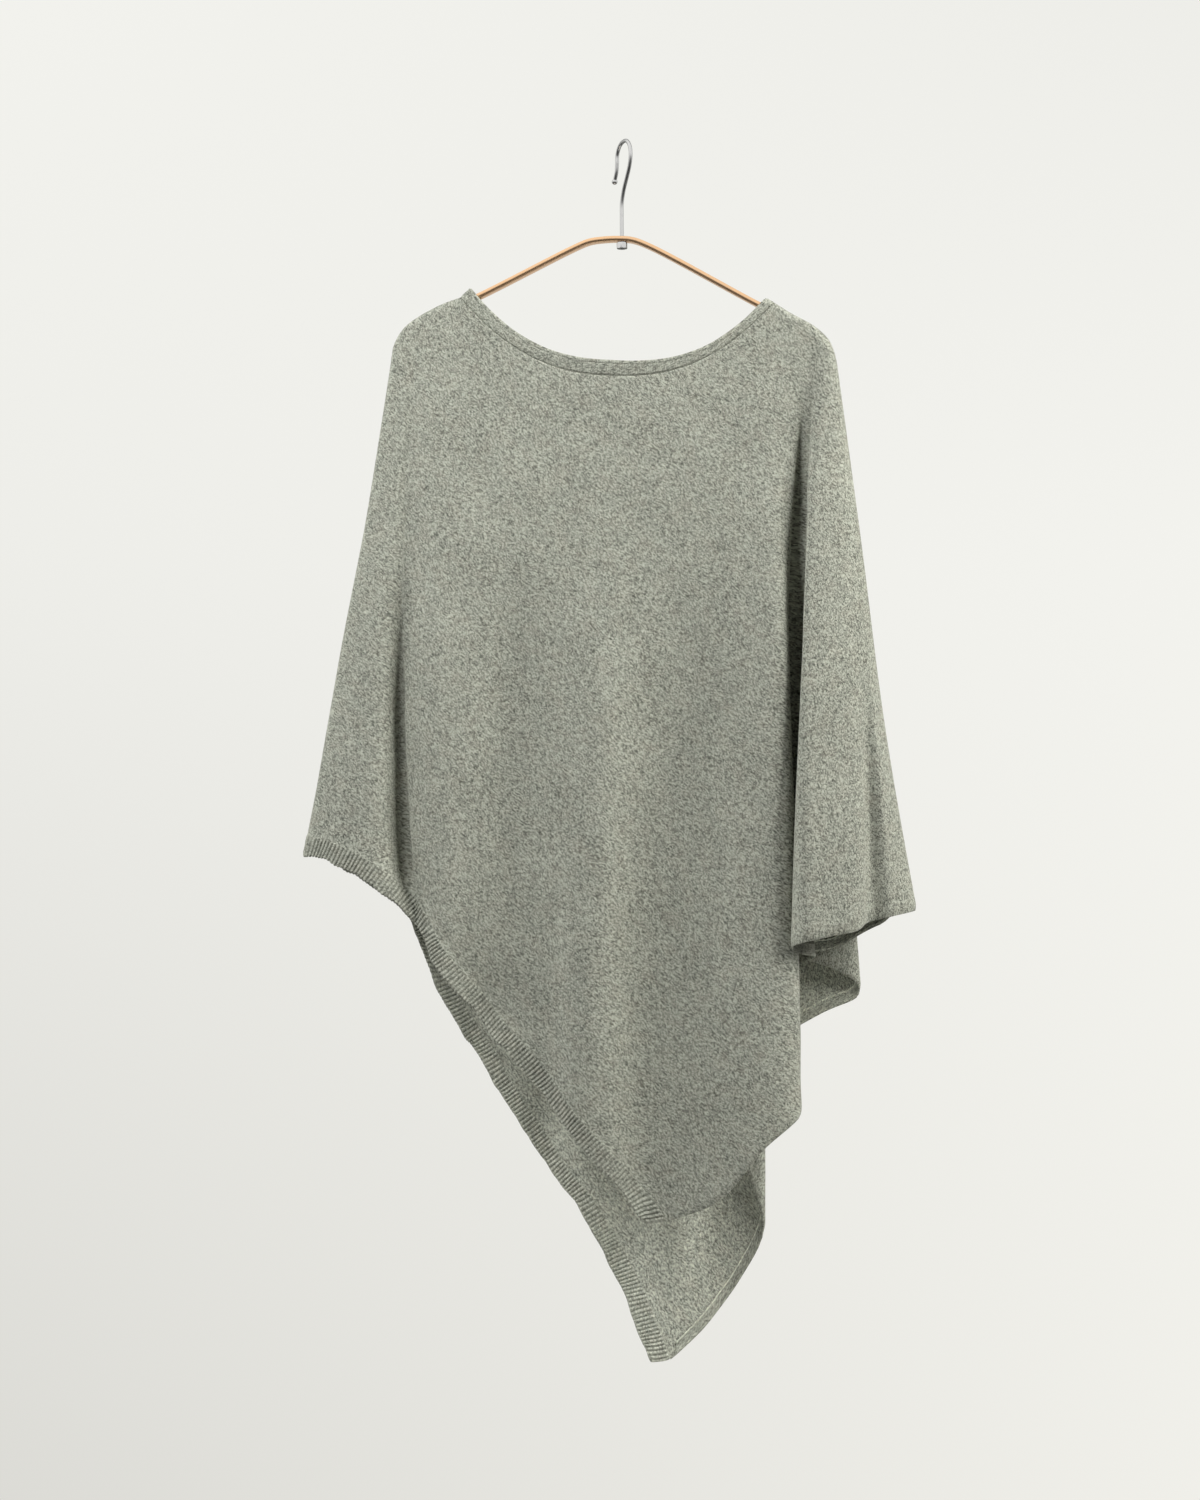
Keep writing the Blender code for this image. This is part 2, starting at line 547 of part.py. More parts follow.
def neck_ring(material):
    """The neckband: a closed ring between the neck seam and the neck edge, over both arms of the hanger."""
    loop = [(q, -1) for q in neck_places(FRONT)] + [(q, 1) for q in neck_places(BACK)[::-1][1:-1]]
    n, across = len(loop), (0.0, 0.5, 1.0)
    grid = np.zeros((n, len(across), 3))
    outward = np.zeros((n, len(across), 3))
    for i, (q, side) in enumerate(loop):
        low, high = neck_curve(NECK_SEAM, q), neck_curve(NECK_EDGE, q)
        d = high - low
        low = low + d / np.linalg.norm(d) * (1.5 * GAP)
        for j, w in enumerate(across):
            x, z = low + (high - low) * w
            near = ridge_distance(x, z) if 0.001 < q < 0.999 else 0.0
            f = math.sqrt(max(0.0, 1 - (1 - min(near / ROUND_TOP, 1.0)) ** 2))
            y = side * f * (SHOULDER_HALF + (NECK_FRONT_BULGE + 0.8 * w) * math.sin(math.pi * q) ** 0.8)
            grid[i, j] = (x, y, z)
    for i in range(n):
        for j in range(len(across)):
            a = grid[(i + 1) % n, j] - grid[i - 1, j]
            b = grid[i, min(j + 1, 2)] - grid[i, max(j - 1, 0)]
            v = np.cross(b, a)
            outward[i, j] = v / (np.linalg.norm(v) + 1e-12)
    if outward[n // 4, 1, 1] > 0:
        outward = -outward
    for i, (q, side) in enumerate(loop):
        tube = FRONT if side < 0 else BACK
        outward[i, 0] = tube.normal(tube.u_at((NECK_START + q * (NECK_END - NECK_START)) / TOP_SCALE), 0.0)
        if q < 0.001 or q > 0.999:
            for j in range(len(across)):
                outward[i, j] = ridge_normal(grid[i, j, 0], grid[i, j, 2])
    mesh = bpy.data.meshes.new("neck_band")
    bm = bmesh.new()
    rings = []
    for sign in (0.5, -0.5):
        pts = (grid + outward * (NECKBAND * sign)) * MM
        pts[:, :, 1] += MID_Y * MM
        rings.append([[bm.verts.new(Vector(pts[i, j])) for j in range(3)] for i in range(n)])
    outer, inner = rings
    section = [(outer, 0), (outer, 1), (outer, 2), (inner, 2), (inner, 1), (inner, 0)]
    for i in range(n):
        k = (i + 1) % n
        for s in range(6):
            (ga, ja), (gb, jb) = section[s], section[(s + 1) % 6]
            a, b, c, d = ga[i][ja], ga[k][ja], gb[k][jb], gb[i][jb]
            bm.faces.new((a, b, c))
            bm.faces.new((a, c, d))
    bmesh.ops.recalc_face_normals(bm, faces=bm.faces)
    if bm.calc_volume(signed=True) < 0:
        bmesh.ops.reverse_faces(bm, faces=bm.faces)
    bm.to_mesh(mesh)
    bm.free()
    mesh.materials.append(material)
    mesh.shade_smooth()
    obj = bpy.data.objects.new("neck_band", mesh)
    bpy.context.scene.collection.objects.link(obj)
    return obj


# ---------------------------------------------------------------- hanger


def bmesh_object(name, bm, material, sharp=40):
    bmesh.ops.recalc_face_normals(bm, faces=bm.faces)
    if bm.calc_volume(signed=True) < 0:
        bmesh.ops.reverse_faces(bm, faces=bm.faces)
    mesh = bpy.data.meshes.new(name)
    bm.to_mesh(mesh)
    bm.free()
    mesh.materials.append(material)
    mesh.shade_smooth()
    mesh.set_sharp_from_angle(angle=math.radians(sharp))
    obj = bpy.data.objects.new(name, mesh)
    bpy.context.scene.collection.objects.link(obj)
    return obj


def rounded_section(deep, tall, r):
    """Section of the strip in (y, down) with rounded edges, the top face at 0."""
    pts = []
    for cy, cz, a0 in ((deep / 2 - r, -r, 90), (-deep / 2 + r, -r, 180), (-deep / 2 + r, -tall + r, 270), (deep / 2 - r, -tall + r, 360)):
        for k in range(3):
            a = math.radians(a0 - 90 + 45 * k)
            pts.append((cy + r * math.cos(a), cz + r * math.sin(a)))
    return pts


def under_shoulder(line, down):
    """Points at the given depth under a shoulder line, on its inner side."""
    d = np.gradient(line, axis=0)
    d /= np.linalg.norm(d, axis=1)[:, None]
    return line + np.stack([d[:, 1], -d[:, 0]], 1) * down


def strip_line():
    """Top line of the whole strip: it bows down under the shoulders as they do."""
    left = under_shoulder(LEFT_LINE, STRIP_UNDER)[12:-5:6]
    right = under_shoulder(RIGHT_LINE, STRIP_UNDER)[5:-13:6]
    return smooth_line(np.vstack([left, STRIP_LINE, right]), 3)


def strip(material):
    line = strip_line()
    keep = [line[0]]
    for p in line[1:]:
        if np.linalg.norm(p - keep[-1]) > 2.0:
            keep.append(p)
    line = np.array(keep)
    section = rounded_section(STRIP_DEEP, STRIP_TALL, STRIP_EDGE)
    bm = bmesh.new()
    rings = []
    for i, (x, z) in enumerate(line):
        d = line[min(i + 1, len(line) - 1)] - line[max(i - 1, 0)]
        d /= np.linalg.norm(d)
        up = np.array((-d[1], d[0]))
        ring = []
        for sy, sz in section:
            p = np.array((x, z)) + up * sz
            ring.append(bm.verts.new(Vector((p[0] * MM, (MID_Y + sy) * MM, p[1] * MM))))
        rings.append(ring)
    m = len(section)
    for a, b in zip(rings[:-1], rings[1:]):
        for k in range(m):
            bm.faces.new((a[k], a[(k + 1) % m], b[(k + 1) % m], b[k]))
    bm.faces.new(rings[0])
    bm.faces.new(rings[-1][::-1])
    obj = bmesh_object("hanger_strip", bm, material)
    # hole for the hook's stem
    x, y = stem_place()
    bpy.ops.mesh.primitive_cylinder_add(vertices=24, radius=(WIRE / 2 + GAP) * MM, depth=14 * MM,
                                        location=(x * MM, y * MM, -87 * MM))
    cutter = bpy.context.object
    cutter.name = "stem_hole_cutter"
    cutter.hide_render = True
    cutter.display_type = "WIRE"
    cut = obj.modifiers.new("stem_hole", "BOOLEAN")
    cut.operation = "DIFFERENCE"
    cut.object = cutter
    return obj


def stem_place():
    a = math.radians(HOOK_TURN)
    out = HOOK_LINE[0][0]
    return out * math.sin(a), -out * math.cos(a) + HOOK_BACK


HOOK_BACK = MID_Y - (-HOOK_LINE[0][0] * math.cos(math.radians(HOOK_TURN)))


def hook(material):
    line = smooth_line(HOOK_LINE[1:], 4)
    line = np.vstack([[HOOK_LINE[0]], line])
    a = math.radians(HOOK_TURN)
    across = Vector((math.cos(a), math.sin(a), 0.0))
    bm = bmesh.new()
    rings = []
    sides = 14
    for i, (h, z) in enumerate(line):
        centre = Vector((h * math.sin(a), -h * math.cos(a) + HOOK_BACK, z)) * MM
        d = line[min(i + 1, len(line) - 1)] - line[max(i - 1, 0)]
        d /= np.linalg.norm(d)
        n = Vector((-d[1] * math.sin(a), d[1] * math.cos(a), d[0]))
        ring = []
        for k in range(sides):
            w = 2 * math.pi * k / sides
            ring.append(bm.verts.new(centre + (across * math.cos(w) + n * math.sin(w)) * (WIRE / 2 * MM)))
        rings.append(ring)
    # ball end: turned rings around the tip
    h, z = line[-1]
    d = line[-1] - line[-2]
    d /= np.linalg.norm(d)
    axis = Vector((d[0] * math.sin(a), -d[0] * math.cos(a), d[1]))
    n = Vector((-d[1] * math.sin(a), d[1] * math.cos(a), d[0]))
    centre = Vector((h * math.sin(a), -h * math.cos(a) + HOOK_BACK, z)) * MM
    start = math.acos(WIRE / BALL)
    for k in range(1, 7):
        lat = -start + (math.pi / 2 + start) * k / 7
        r, s = BALL / 2 * math.cos(lat), BALL / 2 * (math.sin(lat) + math.sin(start))
        ring = []
        for q in range(sides):
            w = 2 * math.pi * q / sides
            ring.append(bm.verts.new(centre + axis * (s * MM) + (across * math.cos(w) + n * math.sin(w)) * (r * MM)))
        rings.append(ring)
    for r0, r1 in zip(rings[:-1], rings[1:]):
        for k in range(sides):
            bm.faces.new((r0[k], r0[(k + 1) % sides], r1[(k + 1) % sides], r1[k]))
    bm.faces.new(rings[0])
    tip = bm.verts.new(centre + axis * (BALL / 2 * (1 + math.sin(start)) * MM))
    for k in range(sides):
        bm.faces.new((rings[-1][k], rings[-1][(k + 1) % sides], tip))
    return bmesh_object("hanger_hook", bm, material)


def nut(material):
    """Hexagon nut on the stem, under the strip."""
    x, y = stem_place()
    top = STRIP_LINE[4][1] - STRIP_TALL - GAP - 0.6
    bm = bmesh.new()
    outer_r, inner_r = NUT_FLATS / 2 / math.cos(math.pi / 6), WIRE / 2 + GAP
    rings = []
    for z, scale in ((top, 0.93), (top - 0.6, 1.0), (top - NUT_TALL + 0.6, 1.0), (top - NUT_TALL, 0.93)):
        ring = []
        for k in range(24):
            w = 2 * math.pi * k / 24
            hexagon = NUT_FLATS / 2 / math.cos((w + math.pi / 6) % (math.pi / 3) - math.pi / 6)
            r = min(hexagon, outer_r * scale)
            ring.append(bm.verts.new(Vector(((x + r * math.cos(w)) * MM, (y + r * math.sin(w)) * MM, z * MM))))
        rings.append(ring)
    for z in (top - NUT_TALL, top):
        rings.append([bm.verts.new(Vector(((x + inner_r * math.cos(2 * math.pi * k / 24)) * MM,
                                           (y + inner_r * math.sin(2 * math.pi * k / 24)) * MM, z * MM)))
                      for k in range(24)])
    rings.append(rings[0])
    for a, b in zip(rings[:-1], rings[1:]):
        for k in range(24):
            bm.faces.new((a[k], a[(k + 1) % 24], b[(k + 1) % 24], b[k]))
    return bmesh_object("hanger_nut", bm, material, 30)


# ---------------------------------------------------------------- materials


def material(name, colour, rough, metal=0.0):
    mat = bpy.data.materials.new(name)
    mat.use_nodes = True
    shader = mat.node_tree.nodes["Principled BSDF"]
    shader.inputs["Base Color"].default_value = (*colour, 1.0)
    shader.inputs["Roughness"].default_value = rough
    shader.inputs["Metallic"].default_value = metal
    mat.diffuse_color = (*colour, 1.0)
    return mat


def main():
    for obj in list(bpy.data.objects):
        bpy.data.objects.remove(obj, do_unlink=True)
    grey = (0.27, 0.27, 0.245)
    split_f = FRONT.corner + 0.55
    split_b = BACK.corner + 0.75
    last_f, last_b = len(FRONT.rows) - 1.0, len(BACK.rows) - 1.0
    gap_f, gap_b = 0.006, 0.008
    panel("front_panel", FRONT, material("knit_front", grey, 0.95))
    panel("back_panel", BACK, material("knit_back", grey, 0.95))
    edge_band("front_rib_hem", FRONT, 0.0, split_f - gap_f, True, False, RIB, material("rib_front", grey, 0.95))
    edge_band("back_rib_hem", BACK, 0.0, split_b - gap_b, True, False, RIB, material("rib_back", grey, 0.95))
    edge_band("front_side_band", FRONT, split_f + gap_f, last_f, False, True, EDGING, material("edging_front", grey, 0.95))
    edge_band("back_side_band", BACK, split_b + gap_b, last_b, False, True, EDGING, material("edging_back", grey, 0.95))
    neck_ring(material("knit_neckband", grey, 0.95))
    strip(material("copper", (0.62, 0.30, 0.15), 0.3, 1.0))
    hook(material("chrome_hook", (0.62, 0.62, 0.63), 0.2, 1.0))
    nut(material("chrome_nut", (0.62, 0.62, 0.63), 0.25, 1.0))


main()
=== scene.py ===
"""Looks of the asymmetric knitted poncho on its bent strip hanger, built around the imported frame."""
import math

import bpy
import numpy as np
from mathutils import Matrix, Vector


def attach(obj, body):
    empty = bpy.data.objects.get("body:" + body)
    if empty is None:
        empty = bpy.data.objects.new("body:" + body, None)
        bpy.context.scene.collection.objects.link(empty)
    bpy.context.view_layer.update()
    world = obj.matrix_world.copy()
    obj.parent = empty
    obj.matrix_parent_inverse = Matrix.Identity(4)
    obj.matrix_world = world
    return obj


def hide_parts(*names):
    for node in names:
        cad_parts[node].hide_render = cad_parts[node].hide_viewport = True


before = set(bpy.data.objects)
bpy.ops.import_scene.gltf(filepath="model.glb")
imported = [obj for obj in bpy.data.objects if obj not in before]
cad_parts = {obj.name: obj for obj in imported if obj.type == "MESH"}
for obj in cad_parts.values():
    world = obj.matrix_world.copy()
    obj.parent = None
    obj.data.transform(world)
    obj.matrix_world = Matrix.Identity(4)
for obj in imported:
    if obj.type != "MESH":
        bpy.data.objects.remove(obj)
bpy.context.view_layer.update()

MM = 0.001

# ================================================================ sizes repeated from the construction (mm)
CLOTH = 2.0
RIB = 2.4
GAP = 0.3
MID_Y = 3.0
RIB_WIDTH = 17.5
EDGING_WIDTH = 9.5
SHOULDER_HALF = 7.2
ROUND_TOP = 5.0
ROUND_HEM = 12.0
NECK_FRONT_BULGE = 6.5
NECK_SEAM = {"left": (-151.5, -135.7), "right": (136.0, -152.3), "drop": 70.6, "p": 2.4}
NECK_EDGE = {"left": (-142.2, -127.7), "right": (129.2, -147.9), "drop": 63.5, "p": 2.6}
SHOULDER_LEFT = [(-216.3, -190.1), (-214.0, -177.4), (-205.2, -162.6), (-190.8, -152.0), (-169.0, -141.4), (-151.5, -135.7)]
SHOULDER_RIGHT = [(136.0, -152.3), (150.0, -161.8), (171.0, -174.4), (183.2, -186.2), (188.3, -197.6), (190.8, -208.6)]
# fold rows: name, distance along the top, x and y at a third, x and y at two thirds, x, z and y at the hem
FRONT_FOLDS = [
    ("side_left",        0.0, -241.5,  -9.0, -270.0, -11.0, -300.6, -644.6, -12.0),
    ("lobe_outer",      22.0, -233.5, -10.0, -260.0, -14.0, -284.0, -647.0, -18.0),
    ("lobe_crest",      34.0, -221.5, -13.0, -241.5, -21.0, -251.0, -660.0, -30.0),
    ("lobe_turn",       42.0, -210.7, -14.0, -218.5, -22.0, -212.5, -685.0, -32.0),
    ("valley_left",     47.0, -202.5, -10.5, -206.5,  -9.5, -196.0, -703.0, -13.0),
    ("valley_left_in",  53.6, -195.0, -13.0, -198.0, -14.0, -185.0, -717.0, -19.0),
    ("ridge_left",      61.8, -185.0, -17.0, -184.0, -27.0, -172.0, -744.0, -36.0),
    ("panel_left",      84.0, -150.0, -20.5, -143.0, -31.5, -128.0, -796.0, -41.5),
    ("hollow_1",       127.0, -108.0, -21.0,  -90.0, -28.0,  -75.0, -860.0, -36.0),
    ("swell_1",        180.0,  -66.0, -24.0,  -48.0, -34.0,  -31.0, -913.0, -42.0),
    ("swell_2",        226.0,  -31.0, -25.0,  -19.5, -36.0,   -7.5, -939.0, -46.0),
    ("point_front",    278.0,   11.5, -24.0,   14.0, -32.0,   18.3, -973.8, -42.0),
    ("hollow_2",       312.0,   46.0, -24.0,   51.0, -32.5,   56.0, -964.5, -41.0),
    ("swell_3",        345.0,   79.0, -24.0,   83.0, -35.0,   86.7, -948.0, -44.0),
    ("panel_right",    387.0,  114.0, -22.0,  117.6, -32.0,  121.1, -907.5, -42.0),
    ("panel_turn",     424.0,  138.5, -20.0,  143.0, -27.0,  146.0, -881.0, -31.0),
    ("panel_edge",     446.0,  148.8, -15.5,  151.0, -15.0,  153.0, -862.0,  -9.0),
    ("valley_in",      457.0,  151.6, -10.0,  149.0,  -1.0,  146.5, -832.0,  10.0),
    ("valley_floor_in",  463.5,  154.0,  -7.5,  145.5,   7.0,  138.0, -806.0,  20.5),
    ("valley_floor_out", 467.5,  157.2,  -7.5,  149.0,  11.5,  134.0, -784.0,  26.5),
    ("valley_out",     471.5,  159.6, -10.2,  154.5,   3.0,  144.0, -751.0,  14.0),
    ("pleat_back",     475.0,  160.6, -14.8,  157.2, -12.0,  161.5, -741.0,  -5.0),
    ("pleat_side",     478.5,  160.0, -20.0,  154.0, -28.0,  151.7, -736.5, -27.0),
    ("pleat_crest",    482.0,  161.4, -24.5,  151.2, -37.0,  145.1, -731.0, -42.0),
    ("sleeve_front",   486.0,  168.0, -27.0,  161.0, -43.0,  161.6, -726.5, -52.0),
    ("sleeve_mid",     490.5,  181.6, -25.0,  183.1, -40.0,  185.2, -721.0, -52.0),
    ("tuck_crest",     494.5,  195.4, -20.0,  203.6, -31.0,  204.8, -717.0, -45.0),
    ("tuck_in",        499.0,  201.5, -15.5,  213.8, -22.0,  215.8, -710.0, -26.0),
    ("tuck_out",       502.5,  206.0, -12.0,  220.4, -17.0,  231.0, -705.5, -16.0),
    ("side_right",     505.4,  210.7,  -9.0,  229.4, -11.0,  255.4, -699.7, -12.0),
]
BACK_FOLDS = [
    ("side_left",        0.0, -241.5,   9.0, -270.0,  11.0, -300.6, -644.6,  12.0),
    ("back_lobe",       24.0, -232.0,  10.5, -257.0,  15.0, -278.0, -651.0,  17.0),
    ("back_dip",        44.0, -213.5,  14.0, -234.5,  22.0, -247.0, -672.0,  27.0),
    ("back_turn",       58.0, -197.0,  17.5, -211.5,  28.5, -218.0, -697.0,  34.0),
    ("back_left",       74.0, -179.0,  21.0, -189.5,  33.0, -197.0, -756.0,  41.0),
    ("back_swell_1",   106.0, -147.0,  25.0, -151.0,  43.0, -146.5, -838.0,  55.0),
    ("back_swell_2",   149.0, -109.5,  27.0, -109.0,  46.0,  -89.7, -927.0,  59.0),
    ("back_hollow",    198.0,  -66.5,  25.0,  -67.0,  43.0,  -50.6, -981.0,  57.0),
    ("back_swell_3",   247.0,  -20.5,  27.0,  -24.0,  48.0,  -22.5, -1040.0, 64.0),
    ("back_rise",      296.0,   25.0,  28.0,   17.0,  47.0,    0.4, -1094.5, 62.0),
    ("point_back",     321.0,   47.5,  26.0,   36.5,  44.0,    8.0, -1110.5, 60.0),
    ("back_right_1",   345.0,   68.0,  25.0,   55.5,  42.0,   25.3, -1106.0, 61.0),
    ("back_right_2",   388.0,  101.5,  26.0,   92.0,  45.0,   72.2, -1058.0, 65.0),
    ("pleat_2_crest_out", 421.5, 119.0, 28.5,  115.5,  45.0,  110.5, -996.0, 60.5),
    ("pleat_2_crest_in", 426.5, 125.0,  26.0,  117.0,  39.5,  111.5, -980.0, 54.0),
    ("pleat_2_under",  430.5,  128.0,  21.0,  110.0,  36.0,   97.0, -932.0,  48.5),
    ("pleat_2_root_out", 434.5, 131.0, 16.5,  103.0,  32.5,   71.0, -871.0,  45.5),
    ("pleat_2_root_in", 438.5, 135.5,  14.0,  104.0,  26.5,   71.5, -852.0,  39.0),
    ("pleat_2_leaf",   442.0,  140.5,  14.0,  113.5,  25.5,   82.0, -841.0,  37.0),
    ("back_sleeve",    447.5,  147.5,  14.8,  129.5,  28.5,  107.4, -827.0,  38.5),
    ("back_sleeve_2",  459.0,  163.0,  16.5,  167.0,  30.5,  166.0, -793.0,  38.5),
    ("pleat_1_crest_out", 467.5, 171.5, 16.5,  189.0,  28.5,  201.5, -776.0, 38.0),
    ("pleat_1_crest_in", 471.0, 175.3,  14.6,  189.5,  23.0,  202.5, -767.0, 33.5),
    ("pleat_1_under",  474.2,  178.4,  12.5,  180.0,  19.3,  180.5, -752.0,  23.4),
    ("pleat_1_root_out", 477.2, 181.2, 10.6,  172.0,  16.6,  158.8, -742.5,  16.4),
    ("pleat_1_root_in", 480.5, 184.6,   9.2,  172.5,  12.2,  159.2, -738.0,  11.6),
    ("sleeve_back",    485.5,  189.6,   9.0,  186.6,  12.6,  183.0, -733.0,  15.0),
    ("sleeve_back_2",  492.0,  200.0,   9.0,  212.0,  12.0,  220.0, -713.0,  15.0),
    ("side_right",     505.4,  210.7,   9.0,  229.4,  11.0,  255.4, -699.7,  12.0),
]
STRIP_TALL = 4.8
STRIP_DEEP = 9.0
STRIP_EDGE = 0.9
STRIP_UNDER = 3.6
STRIP_LINE = [(-137.5, -133.0), (-43.6, -90.0), (-32.0, -86.0), (-19.0, -84.7), (-5.4, -84.7), (8.0, -86.3), (24.0, -92.9), (120.0, -148.8)]
WIRE = 3.4
BALL = 5.2
HOOK_TURN = 33.0
NUT_FLATS = 9.0
NUT_TALL = 5.4
HOOK_LINE = [(-4.2, -93.5), (-4.2, -66.0), (-3.6, -54.0), (0.6, -43.0), (7.4, -33.0), (13.4, -23.5), (16.0, -14.5), (14.2, -5.6),
             (8.2, 0.4), (0.0, 1.7), (-7.6, -0.8), (-12.6, -7.2), (-13.4, -15.5), (-14.6, -22.5), (-18.0, -29.0)]

# ================================================================ sizes of the looks (mm)
RIB_PITCH = 3.6        # one raised and one sunk wale
RIB_DEPTH = 1.25       # from the top of a rib to the bottom of its groove
WALE = 1.8             # stitch width of the plain knit
COURSE = 1.35          # stitch height of the plain knit

# creases of the front's middle: x at three heights, the heights they run between, height of the ridge (+) or depth (-), half width
#                     z_top   x_top   z_mid   x_mid   z_low   x_low   amp   half
FRONT_CREASES = [
    ("ridge_a",      -300.0, -172.0, -560.0, -170.0, -800.0, -161.0,  3.8, 14.0),
    ("trough_a",     -360.0,  -92.0, -600.0, -106.0, -800.0, -116.0, -8.2, 22.0),
    ("hem_hollow",   -700.0, -140.0, -850.0, -104.0, -980.0,  -60.0, -8.6, 27.0),
    ("ridge_b",      -330.0,   -8.0, -560.0,  -20.0, -1010.0, -40.0, 11.6, 19.0),
    ("trough_b",     -340.0,   62.0, -620.0,   43.0, -1000.0,   8.0, -13.0, 25.0),
    ("ridge_c",      -270.0,  140.0, -560.0,  139.0, -930.0,  130.0,  9.6, 25.0),
    ("faint_1",      -190.0,  -96.0, -300.0,  -92.0, -430.0,  -84.0,  0.7, 12.0),
    ("faint_2",      -230.0,   10.0, -340.0,   12.0, -450.0,   18.0, -0.6, 14.0),
    ("faint_3",      -680.0,  -70.0, -760.0,  -66.0, -850.0,  -70.0, -0.8,  9.0),
    ("faint_4",      -600.0,   52.0, -720.0,   46.0, -880.0,   40.0,  0.8, 10.0),
]
BACK_CREASES = [
    ("ridge_a",      -280.0, -172.0, -520.0, -176.0, -760.0, -182.0,  4.0, 14.0),
    ("trough_a",     -330.0, -128.0, -560.0, -130.0, -860.0, -118.0, -5.2, 22.0),
    ("ridge_b",      -300.0,  -92.0, -580.0,  -96.0, -900.0,  -76.0,  5.4, 17.0),
    ("trough_b",     -360.0,  -44.0, -650.0,  -46.0, -990.0,  -34.0, -6.6, 20.0),
    ("ridge_c",      -320.0,    2.0, -600.0,   -4.0, -1050.0,  -6.0,  6.2, 18.0),
    ("trough_c",     -380.0,   46.0, -660.0,   40.0, -1060.0,  30.0, -4.6, 16.0),
    ("ridge_d",      -300.0,   84.0, -560.0,   80.0, -1020.0,  58.0,  3.6, 15.0),
    ("faint_1",      -200.0,   60.0, -300.0,   62.0, -460.0,   66.0,  0.8, 12.0),
    ("faint_2",      -220.0,  -70.0, -340.0,  -76.0, -470.0,  -80.0, -0.7, 13.0),
]

# ================================================================ curve helpers


def centripetal(p0, p1, p2, p3, f):
    t0 = 0.0
    t1 = t0 + max(math.sqrt(np.linalg.norm(p1 - p0)), 1e-6)
    t2 = t1 + max(math.sqrt(np.linalg.norm(p2 - p1)), 1e-6)
    t3 = t2 + max(math.sqrt(np.linalg.norm(p3 - p2)), 1e-6)
    t = t1 + (t2 - t1) * f
    a1 = p0 * (t1 - t) / (t1 - t0) + p1 * (t - t0) / (t1 - t0)
    a2 = p1 * (t2 - t) / (t2 - t1) + p2 * (t - t1) / (t2 - t1)
    a3 = p2 * (t3 - t) / (t3 - t2) + p3 * (t - t2) / (t3 - t2)
    b1 = a1 * (t2 - t) / (t2 - t0) + a2 * (t - t0) / (t2 - t0)
    b2 = a2 * (t3 - t) / (t3 - t1) + a3 * (t - t1) / (t3 - t1)
    return b1 * (t2 - t) / (t2 - t1) + b2 * (t - t1) / (t2 - t1)


def along(points, i, f, corners=()):
    """Points at the fractions f of the span from row i to row i + 1; f is a column vector."""
    n = len(points)
    p1, p2 = points[i], points[i + 1]
    p0 = points[i - 1] if i > 0 and i not in corners else 2 * p1 - p2
    p3 = points[i + 2] if i + 2 < n and (i + 1) not in corners else 2 * p2 - p1
    return centripetal(p0, p1, p2, p3, f)


def smooth_line(points, steps):
    pts = [np.array(p, float) for p in points]
    out = []
    for i in range(len(pts) - 1):
        for k in range(steps):
            out.append(along(pts, i, k / steps))
    out.append(pts[-1])
    return np.array(out)


def neck_curve(spec, q):
    a, b = np.array(spec["left"]), np.array(spec["right"])
    point = a + (b - a) * q
    point[1] -= spec["drop"] * (1.0 - abs(2.0 * q - 1.0) ** spec["p"])
    return point


def smoothstep(v):
    v = np.clip(v, 0.0, 1.0)
    return v * v * (3 - 2 * v)


def unit(v):
    return v / (np.linalg.norm(v, axis=-1, keepdims=True) + 1e-12)


LEFT_LINE = smooth_line(SHOULDER_LEFT, 8)
RIGHT_LINE = smooth_line(SHOULDER_RIGHT, 8)
NECK_LINE = np.array([neck_curve(NECK_SEAM, q) for q in np.linspace(0, 1, 97)])
TOP_LINE = np.vstack([LEFT_LINE[:-1], NECK_LINE, RIGHT_LINE[1:]])
TOP_RUN = np.concatenate([[0.0], np.cumsum(np.linalg.norm(np.diff(TOP_LINE, axis=0), axis=1))])
NECK_START = TOP_RUN[len(LEFT_LINE) - 1]
NECK_END = TOP_RUN[len(LEFT_LINE) - 2 + len(NECK_LINE)]
TOP_SCALE = TOP_RUN[-1] / 505.4


def top_points(run):
    run = np.clip(np.asarray(run, float) * TOP_SCALE, 0.0, TOP_RUN[-1])
    x = np.interp(run, TOP_RUN, TOP_LINE[:, 0])
    z = np.interp(run, TOP_RUN, TOP_LINE[:, 1])
    q = np.clip((run - NECK_START) / (NECK_END - NECK_START), 0.0, 1.0)
    y = SHOULDER_HALF + NECK_FRONT_BULGE * np.sin(math.pi * q) ** 0.8
    return x, y, z


def down(t):
    """Weights of the four levels at t (an array): one smooth line through them."""
    k = np.minimum((t * 3).astype(int), 2)
    f = t * 3 - k
    e0, e1, e2, e3 = (1 + 2 * f) * (1 - f) ** 2, f * (1 - f) ** 2, f * f * (3 - 2 * f), f * f * (f - 1)
    leave = np.array([(-1.25, 1.5, -0.25, 0.0), (-0.5, 0.0, 0.5, 0.0), (0.0, -0.5, 0.0, 0.5), (0.0, 0.25, -1.5, 1.25)])
    w = e1[..., None] * leave[k] + e3[..., None] * leave[k + 1]
    one = np.eye(4)
    return w + e0[..., None] * one[k] + e2[..., None] * one[k + 1]


def side_line(row):
    name, run, x1, y1, x2, y2, x3, z3, y3 = row
    x0, y0, z0 = (float(v) for v in top_points(run))
    t = np.linspace(0, 1, 121)
    w = down(t)
    return np.stack([w @ np.array([x0, x1, x2, x3]), z0 + (z3 - z0) * t], 1)


